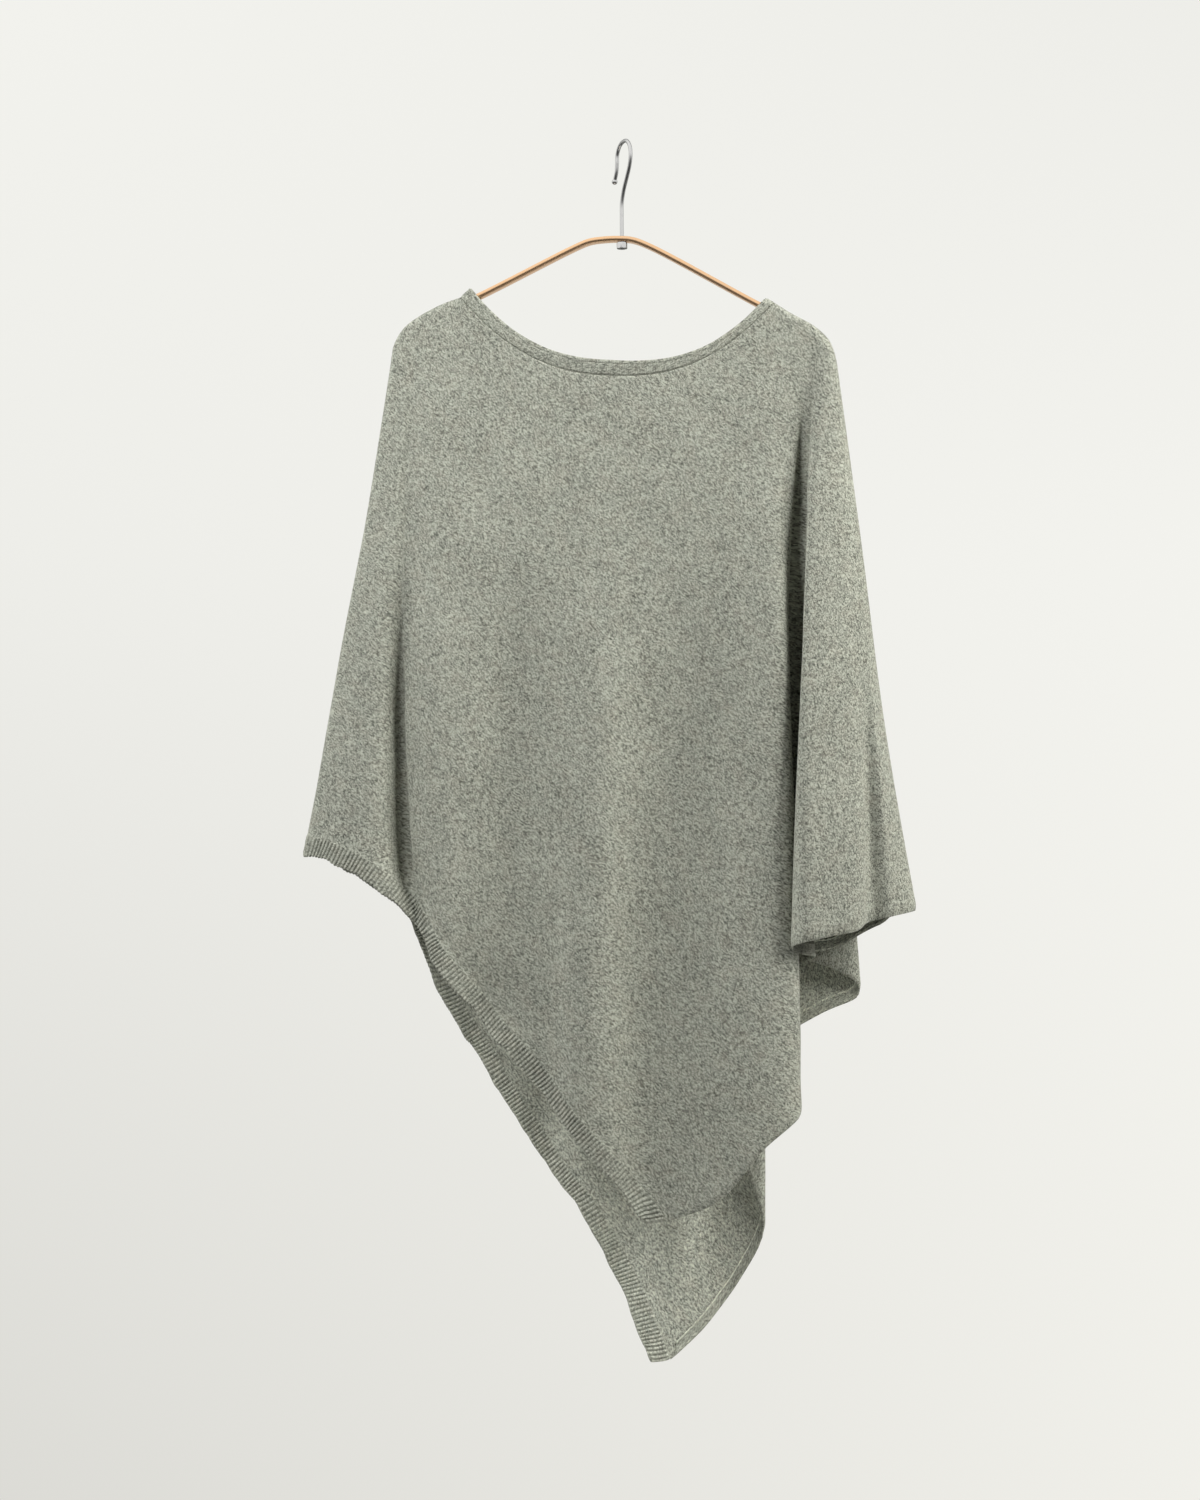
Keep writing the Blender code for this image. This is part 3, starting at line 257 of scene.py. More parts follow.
RIDGES = [
    np.vstack([side_line(FRONT_FOLDS[0])[::-1], LEFT_LINE[1:], [NECK_EDGE["left"]]]),
    np.vstack([side_line(FRONT_FOLDS[-1])[::-1], RIGHT_LINE[::-1][1:], [NECK_EDGE["right"]]]),
]


def ridge_info(x, z):
    """Distance from the shoulder and side lines, and the outward direction there, for flat arrays of points."""
    p = np.stack([x, z], 1)
    best = np.full(len(p), 1e9)
    out = np.zeros((len(p), 2))
    for lo in range(0, len(p), 4000):
        q = p[lo:lo + 4000]
        for k, line in enumerate(RIDGES):
            a, ab = line[:-1], np.diff(line, axis=0)
            t = np.clip(((q[:, None] - a) * ab).sum(2) / (ab * ab).sum(1), 0, 1)
            d = np.linalg.norm(a + ab * t[..., None] - q[:, None], axis=2)
            i = d.argmin(1)
            dm = d[np.arange(len(q)), i]
            t_dir = unit(ab[i])
            n = np.stack([-t_dir[:, 1], t_dir[:, 0]], 1) if k == 0 else np.stack([t_dir[:, 1], -t_dir[:, 0]], 1)
            closer = dm < best[lo:lo + 4000]
            best[lo:lo + 4000][closer] = dm[closer]
            out[lo:lo + 4000][closer] = n[closer]
    return best, out


class Tube:
    """Front or back half of the cloth tube: side is -1 for the front, +1 for the back."""

    STEPS = 100

    def __init__(self, rows, side, corner):
        self.side = side
        self.names = [r[0] for r in rows]
        self.corner = self.names.index(corner)
        self.last = len(rows) - 1.0
        n = len(rows)
        run = np.array([[r[1]] for r in rows])
        third = [np.array((r[2], r[3])) for r in rows]
        two = [np.array((r[4], r[5])) for r in rows]
        hem = [np.array((r[6], r[8], r[7])) for r in rows]
        tops = [np.array([v for v in top_points(r[1])]) for r in rows]
        # full 3-D rows, as the construction interpolates them
        third = [np.array((r[2], r[3], tops[i][2] + (r[7] - tops[i][2]) / 3)) for i, r in enumerate(rows)]
        two = [np.array((r[4], r[5], tops[i][2] + (r[7] - tops[i][2]) * 2 / 3)) for i, r in enumerate(rows)]
        us, lv = [], []
        f = (np.arange(self.STEPS) / self.STEPS)[:, None]
        for i in range(n - 1):
            us.append(i + f[:, 0])
            if 0 < i < n - 2:
                r = along(list(run), i, f)[:, 0]
            else:
                r = run[i, 0] + (run[i + 1, 0] - run[i, 0]) * f[:, 0]
            x0, y0, z0 = top_points(r)
            block = [np.stack([x0, side * y0, z0], 1)]
            for level, pts in enumerate((third, two, hem)):
                block.append(along(pts, i, f, corners=(self.corner,) if level == 2 else ()))
            lv.append(np.stack(block, 1))
        x0, y0, z0 = (float(v) for v in top_points(run[-1, 0]))
        us.append(np.array([n - 1.0]))
        lv.append(np.array([[(x0, side * y0, z0), third[-1], two[-1], hem[-1]]]))
        self.us = np.concatenate(us)
        self.levels = np.concatenate(lv)          # samples x 4 levels x 3
        self.run_table = np.interp(self.us, range(n), run[:, 0])
        self.z_top = self.levels[:, 0, 2]
        self.z_hem = self.levels[:, 3, 2]
        self.make_flat()
        self.make_hem()

    def level_at(self, u):
        out = np.empty(u.shape + (4, 3))
        for a in range(4):
            for b in range(3):
                out[..., a, b] = np.interp(u, self.us, self.levels[:, a, b])
        return out

    def raw(self, u, t):
        """Middle of the cloth for arrays u and t, and how near each point is to a ridge line."""
        lv = self.level_at(u)
        p = (lv * down(t)[..., None]).sum(-2)
        p[..., 2] = lv[..., 0, 2] + (lv[..., 3, 2] - lv[..., 0, 2]) * t
        flat = p.reshape(-1, 3)
        uf, tf = u.reshape(-1), t.reshape(-1)
        near = np.full(len(flat), 1e3)
        out = np.zeros((len(flat), 2))
        test = (uf < 2.2) | (uf > self.last - 2.2) | (tf < 0.03)
        if test.any():
            near[test], out[test] = ridge_info(flat[test, 0], flat[test, 2])
        reach = ROUND_TOP + (ROUND_HEM - ROUND_TOP) * np.clip(tf, 0, 1)
        d = np.clip(near / reach, 0.0, 1.0)
        rim = np.sqrt(np.maximum(0.0, 1.0 - (1.0 - d) ** 2))
        flat[:, 1] *= rim
        if self.side < 0:
            # the left valley closes at the ribbed edge
            close = np.exp(-((1.0 - tf) / 0.05) ** 2)
            flat[:, 1] -= close * (15.0 * np.exp(-((uf - 4.0) / 0.65) ** 2) + 8.0 * np.exp(-((uf - 5.0) / 0.5) ** 2))
        return flat.reshape(p.shape), d.reshape(u.shape), out.reshape(u.shape + (2,)), rim.reshape(u.shape)

    def make_flat(self):
        """Developed place across the cloth, so that patterns lie on it without stretching."""
        u = self.us[::4]
        t = np.linspace(0, 1, 25)
        p, *_ = self.raw(*np.meshgrid(u, t, indexing="ij"))
        step = np.hypot(np.diff(p[..., 0], axis=0), np.diff(p[..., 1], axis=0))
        s = np.vstack([np.zeros(len(t)), np.cumsum(step, axis=0)])
        c = int(np.abs(u - self.corner).argmin())
        self.flat_u, self.flat_t = u, t
        self.flat = s - s[c] + p[c, :, 0]

    def across(self, u, t):
        """Developed coordinate for arrays u and t."""
        i = np.interp(u, self.flat_u, np.arange(len(self.flat_u)))
        j = np.clip(t, 0, 1) * (len(self.flat_t) - 1)
        i0 = np.clip(i.astype(int), 0, len(self.flat_u) - 2)
        j0 = np.clip(j.astype(int), 0, len(self.flat_t) - 2)
        a, b = i - i0, j - j0
        f = self.flat
        return ((1 - a) * (1 - b) * f[i0, j0] + a * (1 - b) * f[i0 + 1, j0]
                + (1 - a) * b * f[i0, j0 + 1] + a * b * f[i0 + 1, j0 + 1])

    def make_hem(self):
        """The hem as a developed line on each side of its point, with its smoothed slope."""
        self.hem_s = self.across(self.us, np.ones(len(self.us)))
        for side in ("left", "right"):
            pick = self.us <= self.corner + 1e-9 if side == "left" else self.us >= self.corner - 1e-9
            s, z, u = self.hem_s[pick], self.z_hem[pick], self.us[pick]
            run = np.concatenate([[0.0], np.cumsum(np.hypot(np.diff(s), np.diff(z)))])
            even = np.arange(0.0, run[-1], 1.0)
            se, ze = np.interp(even, run, s), np.interp(even, run, z)
            k = 9
            pad = lambda v: np.concatenate([v[0] - (v[1:k + 1] - v[0])[::-1], v, v[-1] + (v[-1] - v[-k - 1:-1][::-1])])
            box = np.hanning(2 * k + 1)
            box /= box.sum()
            ss, zs = np.convolve(pad(se), box, "valid"), np.convolve(pad(ze), box, "valid")
            angle = np.arctan2(np.gradient(zs), np.gradient(ss))
            setattr(self, side, {"u": u, "run": run, "s": s, "z": z, "even": even, "angle": angle})


FRONT = Tube(FRONT_FOLDS, -1, "point_front")
BACK = Tube(BACK_FOLDS, 1, "point_back")

# ================================================================ creases and small unevenness


def crease_height(table, x, z):
    total = np.zeros_like(x)
    for name, z0, x0, z1, x1, z2, x2, amp, half in table:
        # one bent line through the three places
        f = (z - z0) / (z2 - z0)
        fm = (z1 - z0) / (z2 - z0)
        bend = (x1 - (x0 + (x2 - x0) * fm)) / (fm * (1 - fm))
        fc = np.clip(f, 0, 1)
        xc = x0 + (x2 - x0) * fc + bend * fc * (1 - fc)
        fade = smoothstep(f / 0.35) * smoothstep((1.12 - f) / 0.22)
        wide = half * (0.85 + 0.3 * fc)
        total += amp * fade * np.exp(-0.5 * ((x - xc) / wide) ** 2)
    return total


def waves(a, b, amp, rows):
    """A few soft waves of unlike lengths: rows of (length along a, length along b, phase, share)."""
    total = np.zeros_like(a)
    for la, lb, ph, share in rows:
        total += share * np.sin(2 * math.pi * (a / la + b / lb) + ph)
    return amp * total


# how far the fold of the right arm is opened at heights t: at the panel's edge and at the pleat
PANEL_TURN_T, PANEL_TURN_D = (0.09, 0.2, 0.27, 0.38, 0.5, 1.0), (0.0, 1.6, 2.6, 4.8, 6.6, 7.5)
PLEAT_TURN_T, PLEAT_TURN_D = (0.1, 0.25, 0.38, 0.5, 0.6, 0.7, 0.82, 1.0), (0.0, 2.0, 6.5, 10.5, 9.0, 6.5, 4.5, 3.5)

UNEVEN = [(61.0, 143.0, 0.4, 0.8), (-83.0, 97.0, 1.9, 0.7), (37.0, 210.0, 4.1, 0.45), (118.0, -71.0, 2.6, 0.6), (-29.0, 88.0, 5.2, 0.3)]
HEM_WAVES = [(58.0, 1e9, 0.7, 0.9), (91.0, 1e9, 2.2, 0.7), (33.0, 1e9, 4.4, 0.45), (141.0, 1e9, 1.1, 0.6)]


def relief(tube, u, t, p, s, h):
    """How far the cloth is moved outward at each point: creases, unevenness and the hem's waves (h: height above the hem)."""
    if tube is FRONT:
        table = FRONT_CREASES
        mask = smoothstep((u - 5.6) / 1.0) * smoothstep((16.3 - u) / 1.1)
    else:
        table = BACK_CREASES
        mask = smoothstep((u - 2.6) / 1.4) * smoothstep((12.8 - u) / 1.2)
    d = crease_height(table, p[..., 0], p[..., 2]) * mask
    if tube is FRONT:
        # the right arm's fold: the panel's edge turns away and the pleat's crest stands clear of it
        panel_side = smoothstep((u - 14.9) / 0.9) * smoothstep((18.2 - u) / 1.0)
        pleat_side = smoothstep((u - 19.6) / 0.8) * smoothstep((24.0 - u) / 1.0)
        floor = smoothstep((u - 16.6) / 0.8) * smoothstep((20.6 - u) / 0.8) * smoothstep((t - 0.08) / 0.2) * smoothstep((0.8 - t) / 0.3)
        d = d - np.interp(t, PANEL_TURN_T, PANEL_TURN_D) * panel_side - np.interp(t, PLEAT_TURN_T, PLEAT_TURN_D) * pleat_side - 8.0 * floor
        # low on the sleeve: its front turns a little to the side, with one soft trough before the side line
        sleeve = smoothstep((t - 0.5) / 0.35)
        d = d + sleeve * (4.5 * np.exp(-((u - 24.1) / 0.55) ** 2) - 2.2 * np.exp(-((u - 27.1) / 0.4) ** 2) + 6.5 * np.exp(-((u - 28.0) / 0.42) ** 2))
        # the left fold: its outer leaf hangs flat, its crest turns in sharply and the panel rises slowly behind it
        fold = smoothstep((t - 0.50) / 0.2)
        low = smoothstep((t - 0.66) / 0.26)
        fold, low = fold * (1 - np.exp(-(h / 24.0) ** 2)), low * (1 - np.exp(-(h / 24.0) ** 2))
        leaf = smoothstep((t - 0.22) / 0.4)
        d = d + 4.2 * np.exp(-((t - 0.43) / 0.12) ** 2) * np.exp(-((u - 4.0) / 0.9) ** 2)
        d = d + leaf * (4.6 * np.exp(-((u - 0.75) / 0.6) ** 2) * smoothstep(u / 0.45) + 4.2 * np.exp(-((u - 1.6) / 0.6) ** 2) + 4.4 * np.exp(-((u - 2.5) / 0.55) ** 2))
        d = d - fold * (4.5 + 3.0 * low) * np.exp(-((u - 3.8) / 0.45) ** 2) - 4.0 * low * np.exp(-((u - 3.1) / 0.4) ** 2)
        d = d + fold * 3.6 * np.exp(-((u - 5.0) / 0.5) ** 2) - fold * 3.4 * np.exp(-((u - 6.2) / 0.6) ** 2)
    calm = smoothstep(t / 0.12) * smoothstep(u / 1.2) * smoothstep((tube.last - u) / 1.2)
    d = d + waves(s, p[..., 2], 0.32, UNEVEN) * calm * (0.35 + 0.65 * mask)
    edge = np.exp(-np.maximum(h, 0) / 30.0) * calm * (0.4 + 0.6 * mask)
    d = d + waves(s + (0 if tube is FRONT else 40.0), s * 0, 1.15, HEM_WAVES) * edge
    if tube is FRONT:
        # the short pinch above the ribbed edge, close to the point
        cx, cz = 23.0, -917.0
        dx, dz = p[..., 0] - cx, p[..., 2] - cz
        lx, lz = dx * 0.968 + dz * 0.25, -dx * 0.25 + dz * 0.968
        fade = np.exp(-(lx / 11.0) ** 4)
        d = d - 1.1 * fade * np.exp(-(lz / 1.3) ** 2) + 0.7 * fade * np.exp(-((lz + 2.9) / 1.8) ** 2) + 0.45 * fade * np.exp(-((lz - 3.2) / 2.4) ** 2)
    return d


# ================================================================ shells


def grid_normals(tube, p, u, t, near, out, rim):
    du = np.empty_like(p)
    du[1:-1] = p[2:] - p[:-2]
    du[0], du[-1] = p[1] - p[0], p[-1] - p[-2]
    dt = np.empty_like(p)
    dt[:, 1:-1] = p[:, 2:] - p[:, :-2]
    dt[:, 0], dt[:, -1] = p[:, 1] - p[:, 0], p[:, -1] - p[:, -2]
    v = unit(np.cross(dt, du)) * -tube.side
    # close to the shoulder and side lines the rounding gives the direction
    reach = ROUND_TOP + (ROUND_HEM - ROUND_TOP) * np.clip(t, 0, 1)
    half = np.abs(p[..., 1]) / np.maximum(rim, 0.05)
    turn = np.zeros_like(p)
    turn[..., 0] = out[..., 0] * (1 - near) * half
    turn[..., 2] = out[..., 1] * (1 - near) * half
    turn[..., 1] = tube.side * np.sqrt(np.maximum(1 - (1 - near) ** 2, 0)) * reach
    turn = unit(turn)
    keep = np.clip((near - 0.25) / 0.65, 0, 1)[..., None]
    return np.where(near[..., None] < 1.0, unit(turn * (1 - keep) + v * keep), v)


def fix_ridge(tube, p, n, near, out):
    """Where front and back meet, both end on the same line."""
    on = near < 0.003
    p[..., 1][on] = 0.0
    n[on] = np.stack([out[..., 0][on], np.zeros(on.sum()), out[..., 1][on]], 1)


def new_object(name, mesh, mats):
    for m in mats:
        mesh.materials.append(m)
    obj = bpy.data.objects.new(name, mesh)
    bpy.context.scene.collection.objects.link(obj)
    return obj


def mesh_from(name, verts, quads, uv=None, mat_index=None, smooth=True):
    """verts in mm, with the tube's middle plane at y = 0."""
    v = np.array(verts, float) * MM
    mesh = bpy.data.meshes.new(name)
    mesh.from_pydata(v.tolist(), [], [list(q) for q in quads])
    if uv is not None:
        layer = mesh.uv_layers.new(name="cloth")
        loops = np.empty(len(mesh.loops), np.int32)
        mesh.loops.foreach_get("vertex_index", loops)
        layer.data.foreach_set("uv", (np.asarray(uv, np.float32)[loops]).ravel())
    if mat_index is not None:
        mesh.polygons.foreach_set("material_index", np.asarray(mat_index, np.int32))
    if smooth:
        mesh.shade_smooth()
    mesh.validate()
    mesh.update()
    return mesh


def strips(a, b, flip=False):
    """Quads between two equally long lists of vertex numbers."""
    q = np.stack([a[:-1], b[:-1], b[1:], a[1:]], 1)
    return q[:, ::-1] if flip else q


def shell(name, p, n, outer, inner, uv, mats, back=False, round_hem=True, ring=False, round_top=False):
    """A closed thin wall around the middle points p (columns x rows x 3), with the offsets outer and inner along n.
    The hem end of each column is rounded; ring joins the last column to the first."""
    cols, rows, _ = p.shape
    po, pi = p + n * outer[..., None], p - n * inner[..., None]
    parts, uvs = [po], [uv]
    # rounded lower end
    section = 4
    e = unit(p[:, -1] - p[:, -3])
    e = unit(e - n[:, -1] * (e * n[:, -1]).sum(1, keepdims=True))
    if round_hem:
        mid = (po[:, -1] + pi[:, -1]) / 2
        r = (outer[:, -1] + inner[:, -1]) / 2
        end = []
        for k in range(1, section + 1):
            a = math.pi * k / (section + 1)
            end.append(mid + n[:, -1] * (r * math.cos(a))[:, None] + e * (r * math.sin(a) * 0.95)[:, None])
        parts.append(np.stack(end, 1))
        d = (uv[:, -1] - uv[:, -2])
        d /= (np.linalg.norm(d, axis=1, keepdims=True) + 1e-9)
        uvs.append(np.stack([uv[:, -1] + d * (r * MM * k / section)[:, None] for k in range(1, section + 1)], 1))
    parts.append(pi[:, ::-1])
    uvs.append(uv[:, ::-1])
    if round_top:
        e = unit(p[:, 0] - p[:, 2])
        mid = (po[:, 0] + pi[:, 0]) / 2
        r = (outer[:, 0] + inner[:, 0]) / 2
        end = []
        for k in range(1, section + 1):
            a = math.pi - math.pi * k / (section + 1)
            end.append(mid + n[:, 0] * (r * math.cos(a))[:, None] + e * (r * math.sin(a) * 0.95)[:, None])
        parts.append(np.stack(end, 1))
        uvs.append(np.stack([uv[:, 0]] * section, 1))
    loop = np.concatenate(parts, 1)
    uvl = np.concatenate(uvs, 1)
    m = loop.shape[1]
    verts = loop.reshape(-1, 3).copy()
    verts[:, 1] += MID_Y
    index = np.arange(cols * m).reshape(cols, m)
    quads = []
    flags = []
    last_inner = rows + (section if round_hem else 0) + rows
    for i in range(cols if ring else cols - 1):
        a, b = index[i], index[(i + 1) % cols]
        a2, b2 = np.append(a, a[0]), np.append(b, b[0])
        quads.append(strips(a2, b2))
        k = np.arange(m)
        first_inner = rows + (section if round_hem else 0)
        flags.append(((k >= first_inner) & (k < last_inner - 1)).astype(np.int32))
    if not ring:
        # close both ends with quads between the outer and the inner rows
        for c, turn in ((0, False), (cols - 1, True)):
            o = index[c, :rows]
            s = rows + (section if round_hem else 0)
            i_ = index[c, s:s + rows][::-1]
            q = strips(o, i_, flip=not turn)
            quads.append(q)
            flags.append(np.zeros(len(q), np.int32))
            if round_hem:
                ends = [o[-1]] + list(index[c, rows:rows + section]) + [i_[-1]]
                for a in range(len(ends) // 2 - 1):
                    f = [ends[a], ends[a + 1], ends[-2 - a], ends[-1 - a]]
                    quads.append(np.array([f if turn else f[::-1]]))
                    flags.append(np.zeros(1, np.int32))
    quads = np.concatenate(quads)
    flags = np.concatenate(flags)
    if back:
        quads = quads[:, ::-1]
    quads = quads[:, ::-1]
    mesh = mesh_from(name, verts, quads, uvl.reshape(-1, 2), flags if len(mats) > 1 else None)
    return new_object(name, mesh, mats)


def ridge_steps(reach, count, up_to, step):
    """Distances from a ridge: close together on the rounding, then even."""
    a = [reach * (1 - math.cos(math.pi / 2 * k / count)) for k in range(count + 1)]
    while a[-1] < up_to:
        a.append(a[-1] + step)
    return a


def column_places(tube, step, fine_ends=True):
    """Values of u for the columns, even along the cloth two thirds of the way down, closer on the side lines."""
    t = np.full(len(tube.us), 0.72)
    s = tube.across(tube.us, t)
    s = s - s[0]
    total = s[-1]
    left = [d for d in ridge_steps(11.0, 9, 11.0, step) if d < total / 2]
    inner = np.arange(left[-1] + step, total - left[-1] - step * 0.5, step)
    marks = np.concatenate([left, inner, [total - d for d in left[::-1]]])
    return np.interp(marks, s, tube.us)


# ================================================================ ribbed edge


def rib_grid(tube, cell, rows_d):
    """u, t, run along the hem and distance from it for the ribbed edge, whose columns stand square to the hem.
    At the side line they turn parallel to it, and at the point they turn into the other hem."""
    left, right = tube.left, tube.right
    total = left["run"][-1]
    n = int(round(total / cell)) + 1
    run = np.linspace(0, total, n)
    s = np.interp(run, left["run"], left["s"])
    z = np.interp(run, left["run"], left["z"])
    ang = -np.interp(run, left["even"], left["angle"])      # positive: the hem falls to the right
    turn_in = 1 - smoothstep(run / 26.0)
    turn_out = smoothstep((run - (total - 34.0)) / 34.0)
    d = np.array(rows_d)[None, :]
    perp_s = s[:, None] + d * (np.sin(ang) * (1 - turn_in))[:, None]
    perp_z = z[:, None] + d * (np.cos(ang) * (1 - turn_in) + turn_in)[:, None]
    # the other hem, from the point
    rs = np.interp(d[0], right["run"], right["s"]) - right["s"][0]
    rz = np.interp(d[0], right["run"], right["z"]) - right["z"][0]
    out_s = s[:, None] + rs[None, :]
    out_z = z[:, None] + rz[None, :]
    w = turn_out[:, None]
    ts, tz = perp_s * (1 - w) + out_s * w, perp_z * (1 - w) + out_z * w
    u = np.interp(ts, tube.hem_s, tube.us)
    z_top = np.interp(u, tube.us, tube.z_top)
    z_hem = np.interp(u, tube.us, tube.z_hem)
    t = np.minimum((z_top - tz) / (z_top - z_hem), 1.0)
    u[-1] = np.interp(np.interp(d[0], right["run"], right["s"]), tube.hem_s, tube.us)
    t[-1] = 1.0
    return u, t, run, d


def rib_profile(run):
    c = np.cos(2 * math.pi * run / RIB_PITCH)
    return (0.5 + 0.5 * c) ** 0.6


def hem_wobble(tube, run):
    """Small unevenness of the lower edge, downwards."""
    k = 0.0 if tube is FRONT else 1.7
    return (0.45 * np.sin(run / 3.9 + 0.6 + k) + 0.5 * np.sin(run / 6.7 + 2.0 * k) + 0.3 * np.sin(run / 2.6 + 1.0 + k)
            + 0.42 * np.cos(2 * math.pi * run / RIB_PITCH))


def hem_sway(tube, run):
    """Longer, uneven waves of the whole ribbed edge, downwards."""
    k, big = (0.0, 1.0) if tube is FRONT else (2.3, 1.35)
    return big * (0.75 * np.sin(run / 8.1 + 0.4 + k) + 0.65 * np.sin(run / 13.3 + 1.9 * k) + 0.5 * np.sin(run / 21.7 + 2.2 + k))


ROWS_D = [0.0, 0.5, 1.2, 2.2, 4.2, 6.6, 9.0, 11.4, 13.8, 15.4, 16.3, 16.9, 17.5]


def rib_piece(name, tube, mats):
    u, t, run, d = rib_grid(tube, 0.45, ROWS_D[::-1])
    h = np.interp(u, tube.us, tube.z_top - tube.z_hem)
    wob = hem_wobble(tube, run)[:, None] * np.exp(-d / 5.0) * smoothstep(run / 8.0)[:, None] * smoothstep((run[-1] - run) / 8.0)[:, None]
    t = t - (0.9 - wob) / h * np.exp(-d / 8.0)
    inside = smoothstep(run / 14.0) * smoothstep((run[-1] - run) / 14.0)
    t = t + (hem_sway(tube, run) * inside)[:, None] * np.exp(-d / 22.0) / h
    corner = np.clip((8.5 - run) / 8.5, 0.0, 1.0)[:, None]
    t = t - 7.5 * (1 - np.sqrt(1 - corner ** 2)) * np.exp(-d / 7.0) / h
    if tube is BACK:
        t = t - 15.0 * np.exp(-((u - 3.75) / 0.62) ** 2) / h
    p, near, out, rim = tube.raw(u, np.clip(t, 0, 1.01))
    n = grid_normals(tube, p, u, t, near, out, rim)
    fix_ridge(tube, p, n, near, out)
    s = tube.across(u, t)
    height = (1 - t) * h
    p = p + n * (relief(tube, u, t, p, s, height))[..., None]
    ends = smoothstep(run / 3.0)[:, None] * smoothstep((run[-1] - run) / 4.0)[:, None]
    band = smoothstep((17.2 - d) / 1.2) * smoothstep((d + 0.6) / 1.4) * ends
    run2 = run[:, None] + d * 0
    low = 0.46
    o = (rib_profile(run2) - low) * RIB_DEPTH * band
    i_ = (rib_profile(run2 + RIB_PITCH / 2) - low) * RIB_DEPTH * band
    # picked-up row along the top of the ribs, and the cast-off row at the hem
    top = 0.34 * np.exp(-((d - 17.5) / 1.3) ** 2) * (1 + 0.25 * np.cos(2 * math.pi * run2 / WALE))
    hem = 0.22 * np.exp(-((d - 0.7) / 0.8) ** 2)
    outer = CLOTH / 2 + 0.05 + o + top * ends + hem
    inner = CLOTH / 2 + 0.05 + i_ + 0.3 * np.exp(-((d - 17.5) / 1.0) ** 2) * ends + hem
    uv = np.stack([run2 * MM, d * MM + run2 * 0], -1)
    return shell(name, p, n, outer, inner, uv, mats, back=tube.side > 0), (u, t, p, n)


# ================================================================ panels


def panel_piece(name, tube, rib_edge, mats, step=2.6):
    """The plain knit from the shoulders and neck down to the ribbed edge on the left and to the hem on the right."""
    u_cols = column_places(tube, step)
    ur, tr = rib_edge
    order = np.argsort(ur)
    ur, tr = ur[order], tr[order]
    end = np.where(u_cols <= ur[-1], np.interp(u_cols, ur, tr), 1.0)
    # a column exactly where the ribbed edge runs into the other hem
    k = int(np.abs(u_cols - ur[-1]).argmin())
    u_cols[k] = ur[-1]
    end[k] = tr[-1]
    h = np.interp(u_cols, tube.us, tube.z_top - tube.z_hem)
    right_run = np.interp(u_cols, tube.right["u"], tube.right["run"])
    on_right = smoothstep((right_run - 16.0) / 10.0)
    end = end - on_right * (1.0 - 0.25 * np.sin(right_run / 7.3) - 0.2 * np.sin(right_run / 12.1 + 1.0)) / h
    if tube is BACK:
        end = end - 4.5 * smoothstep((u_cols - 27.1) / 0.4) * smoothstep((28.0 - u_cols) / 0.3) / h
    # rows: close to the shoulder line, even, close above the hem
    top = [0.0] + [5.0 * (1 - math.cos(math.pi / 2 * k / 7)) for k in range(1, 8)] + [6.6, 9.0, 12.5]
    low = [0.0, 0.4, 0.8, 1.2, 1.7, 2.4] + [3.6 + 1.2 * k for k in range(22)]
    mid_n = 104
    rows = []
    for i in range(len(u_cols)):
        length = end[i] * h[i]
        a = top[-1]
        b = length - low[-1]
        mid = a + (b - a) * smoothstep_even(mid_n)
        rows.append(np.concatenate([top, mid, [length - v for v in low[::-1]]]) / h[i])
    t = np.array(rows)
    u = np.repeat(u_cols[:, None], t.shape[1], 1)
    p, near, out, rim = tube.raw(u, t)
    n = grid_normals(tube, p, u, t, near, out, rim)
    fix_ridge(tube, p, n, near, out)
    s = tube.across(u, t)
    height = (1 - t) * h[:, None]
    p = p + n * relief(tube, u, t, p, s, height)[..., None]
    outer = np.full(t.shape, CLOTH / 2)
    inner = np.full(t.shape, CLOTH / 2)
    # the row that the ribs are picked up from, shared with the ribbed edge
    to_rib = (end[:, None] - t) * h[:, None]
    ang = np.abs(np.interp(np.interp(u_cols, tube.left["u"], tube.left["run"]), tube.left["even"], tube.left["angle"]))
    d = to_rib * np.cos(ang)[:, None]
    beside = (1 - smoothstep((u_cols - tube.corner) / 0.3))[:, None]
    ends = smoothstep((s - s[:1]) / 3.0)
    outer = outer + (0.34 * np.exp(-(d / 1.3) ** 2) + 0.05) * beside * ends
    inner = inner + (0.3 * np.exp(-(d / 1.0) ** 2) + 0.05) * beside * ends
    # groove at the neck seam
    run = np.interp(u_cols, tube.us, tube.run_table) * TOP_SCALE
    neck = (smoothstep((run - NECK_START) / 4.0) * smoothstep((NECK_END - run) / 4.0))[:, None]
    depth = t * h[:, None]
    outer = outer - neck * 0.8 * (1 - smoothstep(depth / 1.5)) + neck * 0.12 * np.exp(-((depth - 2.6) / 1.1) ** 2)
    # the free hem on the right is a little thicker and turns in
    edge = on_right[:, None] * np.exp(-(to_rib / 5.0))
    p = p - n * (1.5 * on_right[:, None] * np.clip(1 - to_rib / 7.0, 0, 1) ** 2)[..., None]
    outer = outer + 0.25 * edge
    # the facing takes the inner half of the wall near the free hem
    dr = to_rib * np.cos(np.interp(right_run, tube.right["even"], np.abs(tube.right["angle"])))[:, None]
    face = on_right[:, None] * (1 - smoothstep((dr - (EDGING_WIDTH - 0.4)) / 0.8))
    inner = inner - 0.75 * face
    uv = np.stack([s * MM, p[..., 2] * MM], -1)
    obj = shell(name, p, n, outer, inner, uv, mats, back=tube.side > 0)
    return obj, (u_cols, end, h, right_run)


def smoothstep_even(n):
    """n even fractions inside 0..1, a little closer at both ends."""
    f = (np.arange(n) + 1.0) / (n + 1.0)
    return f * 0.8 + 0.2 * (3 * f * f - 2 * f ** 3)


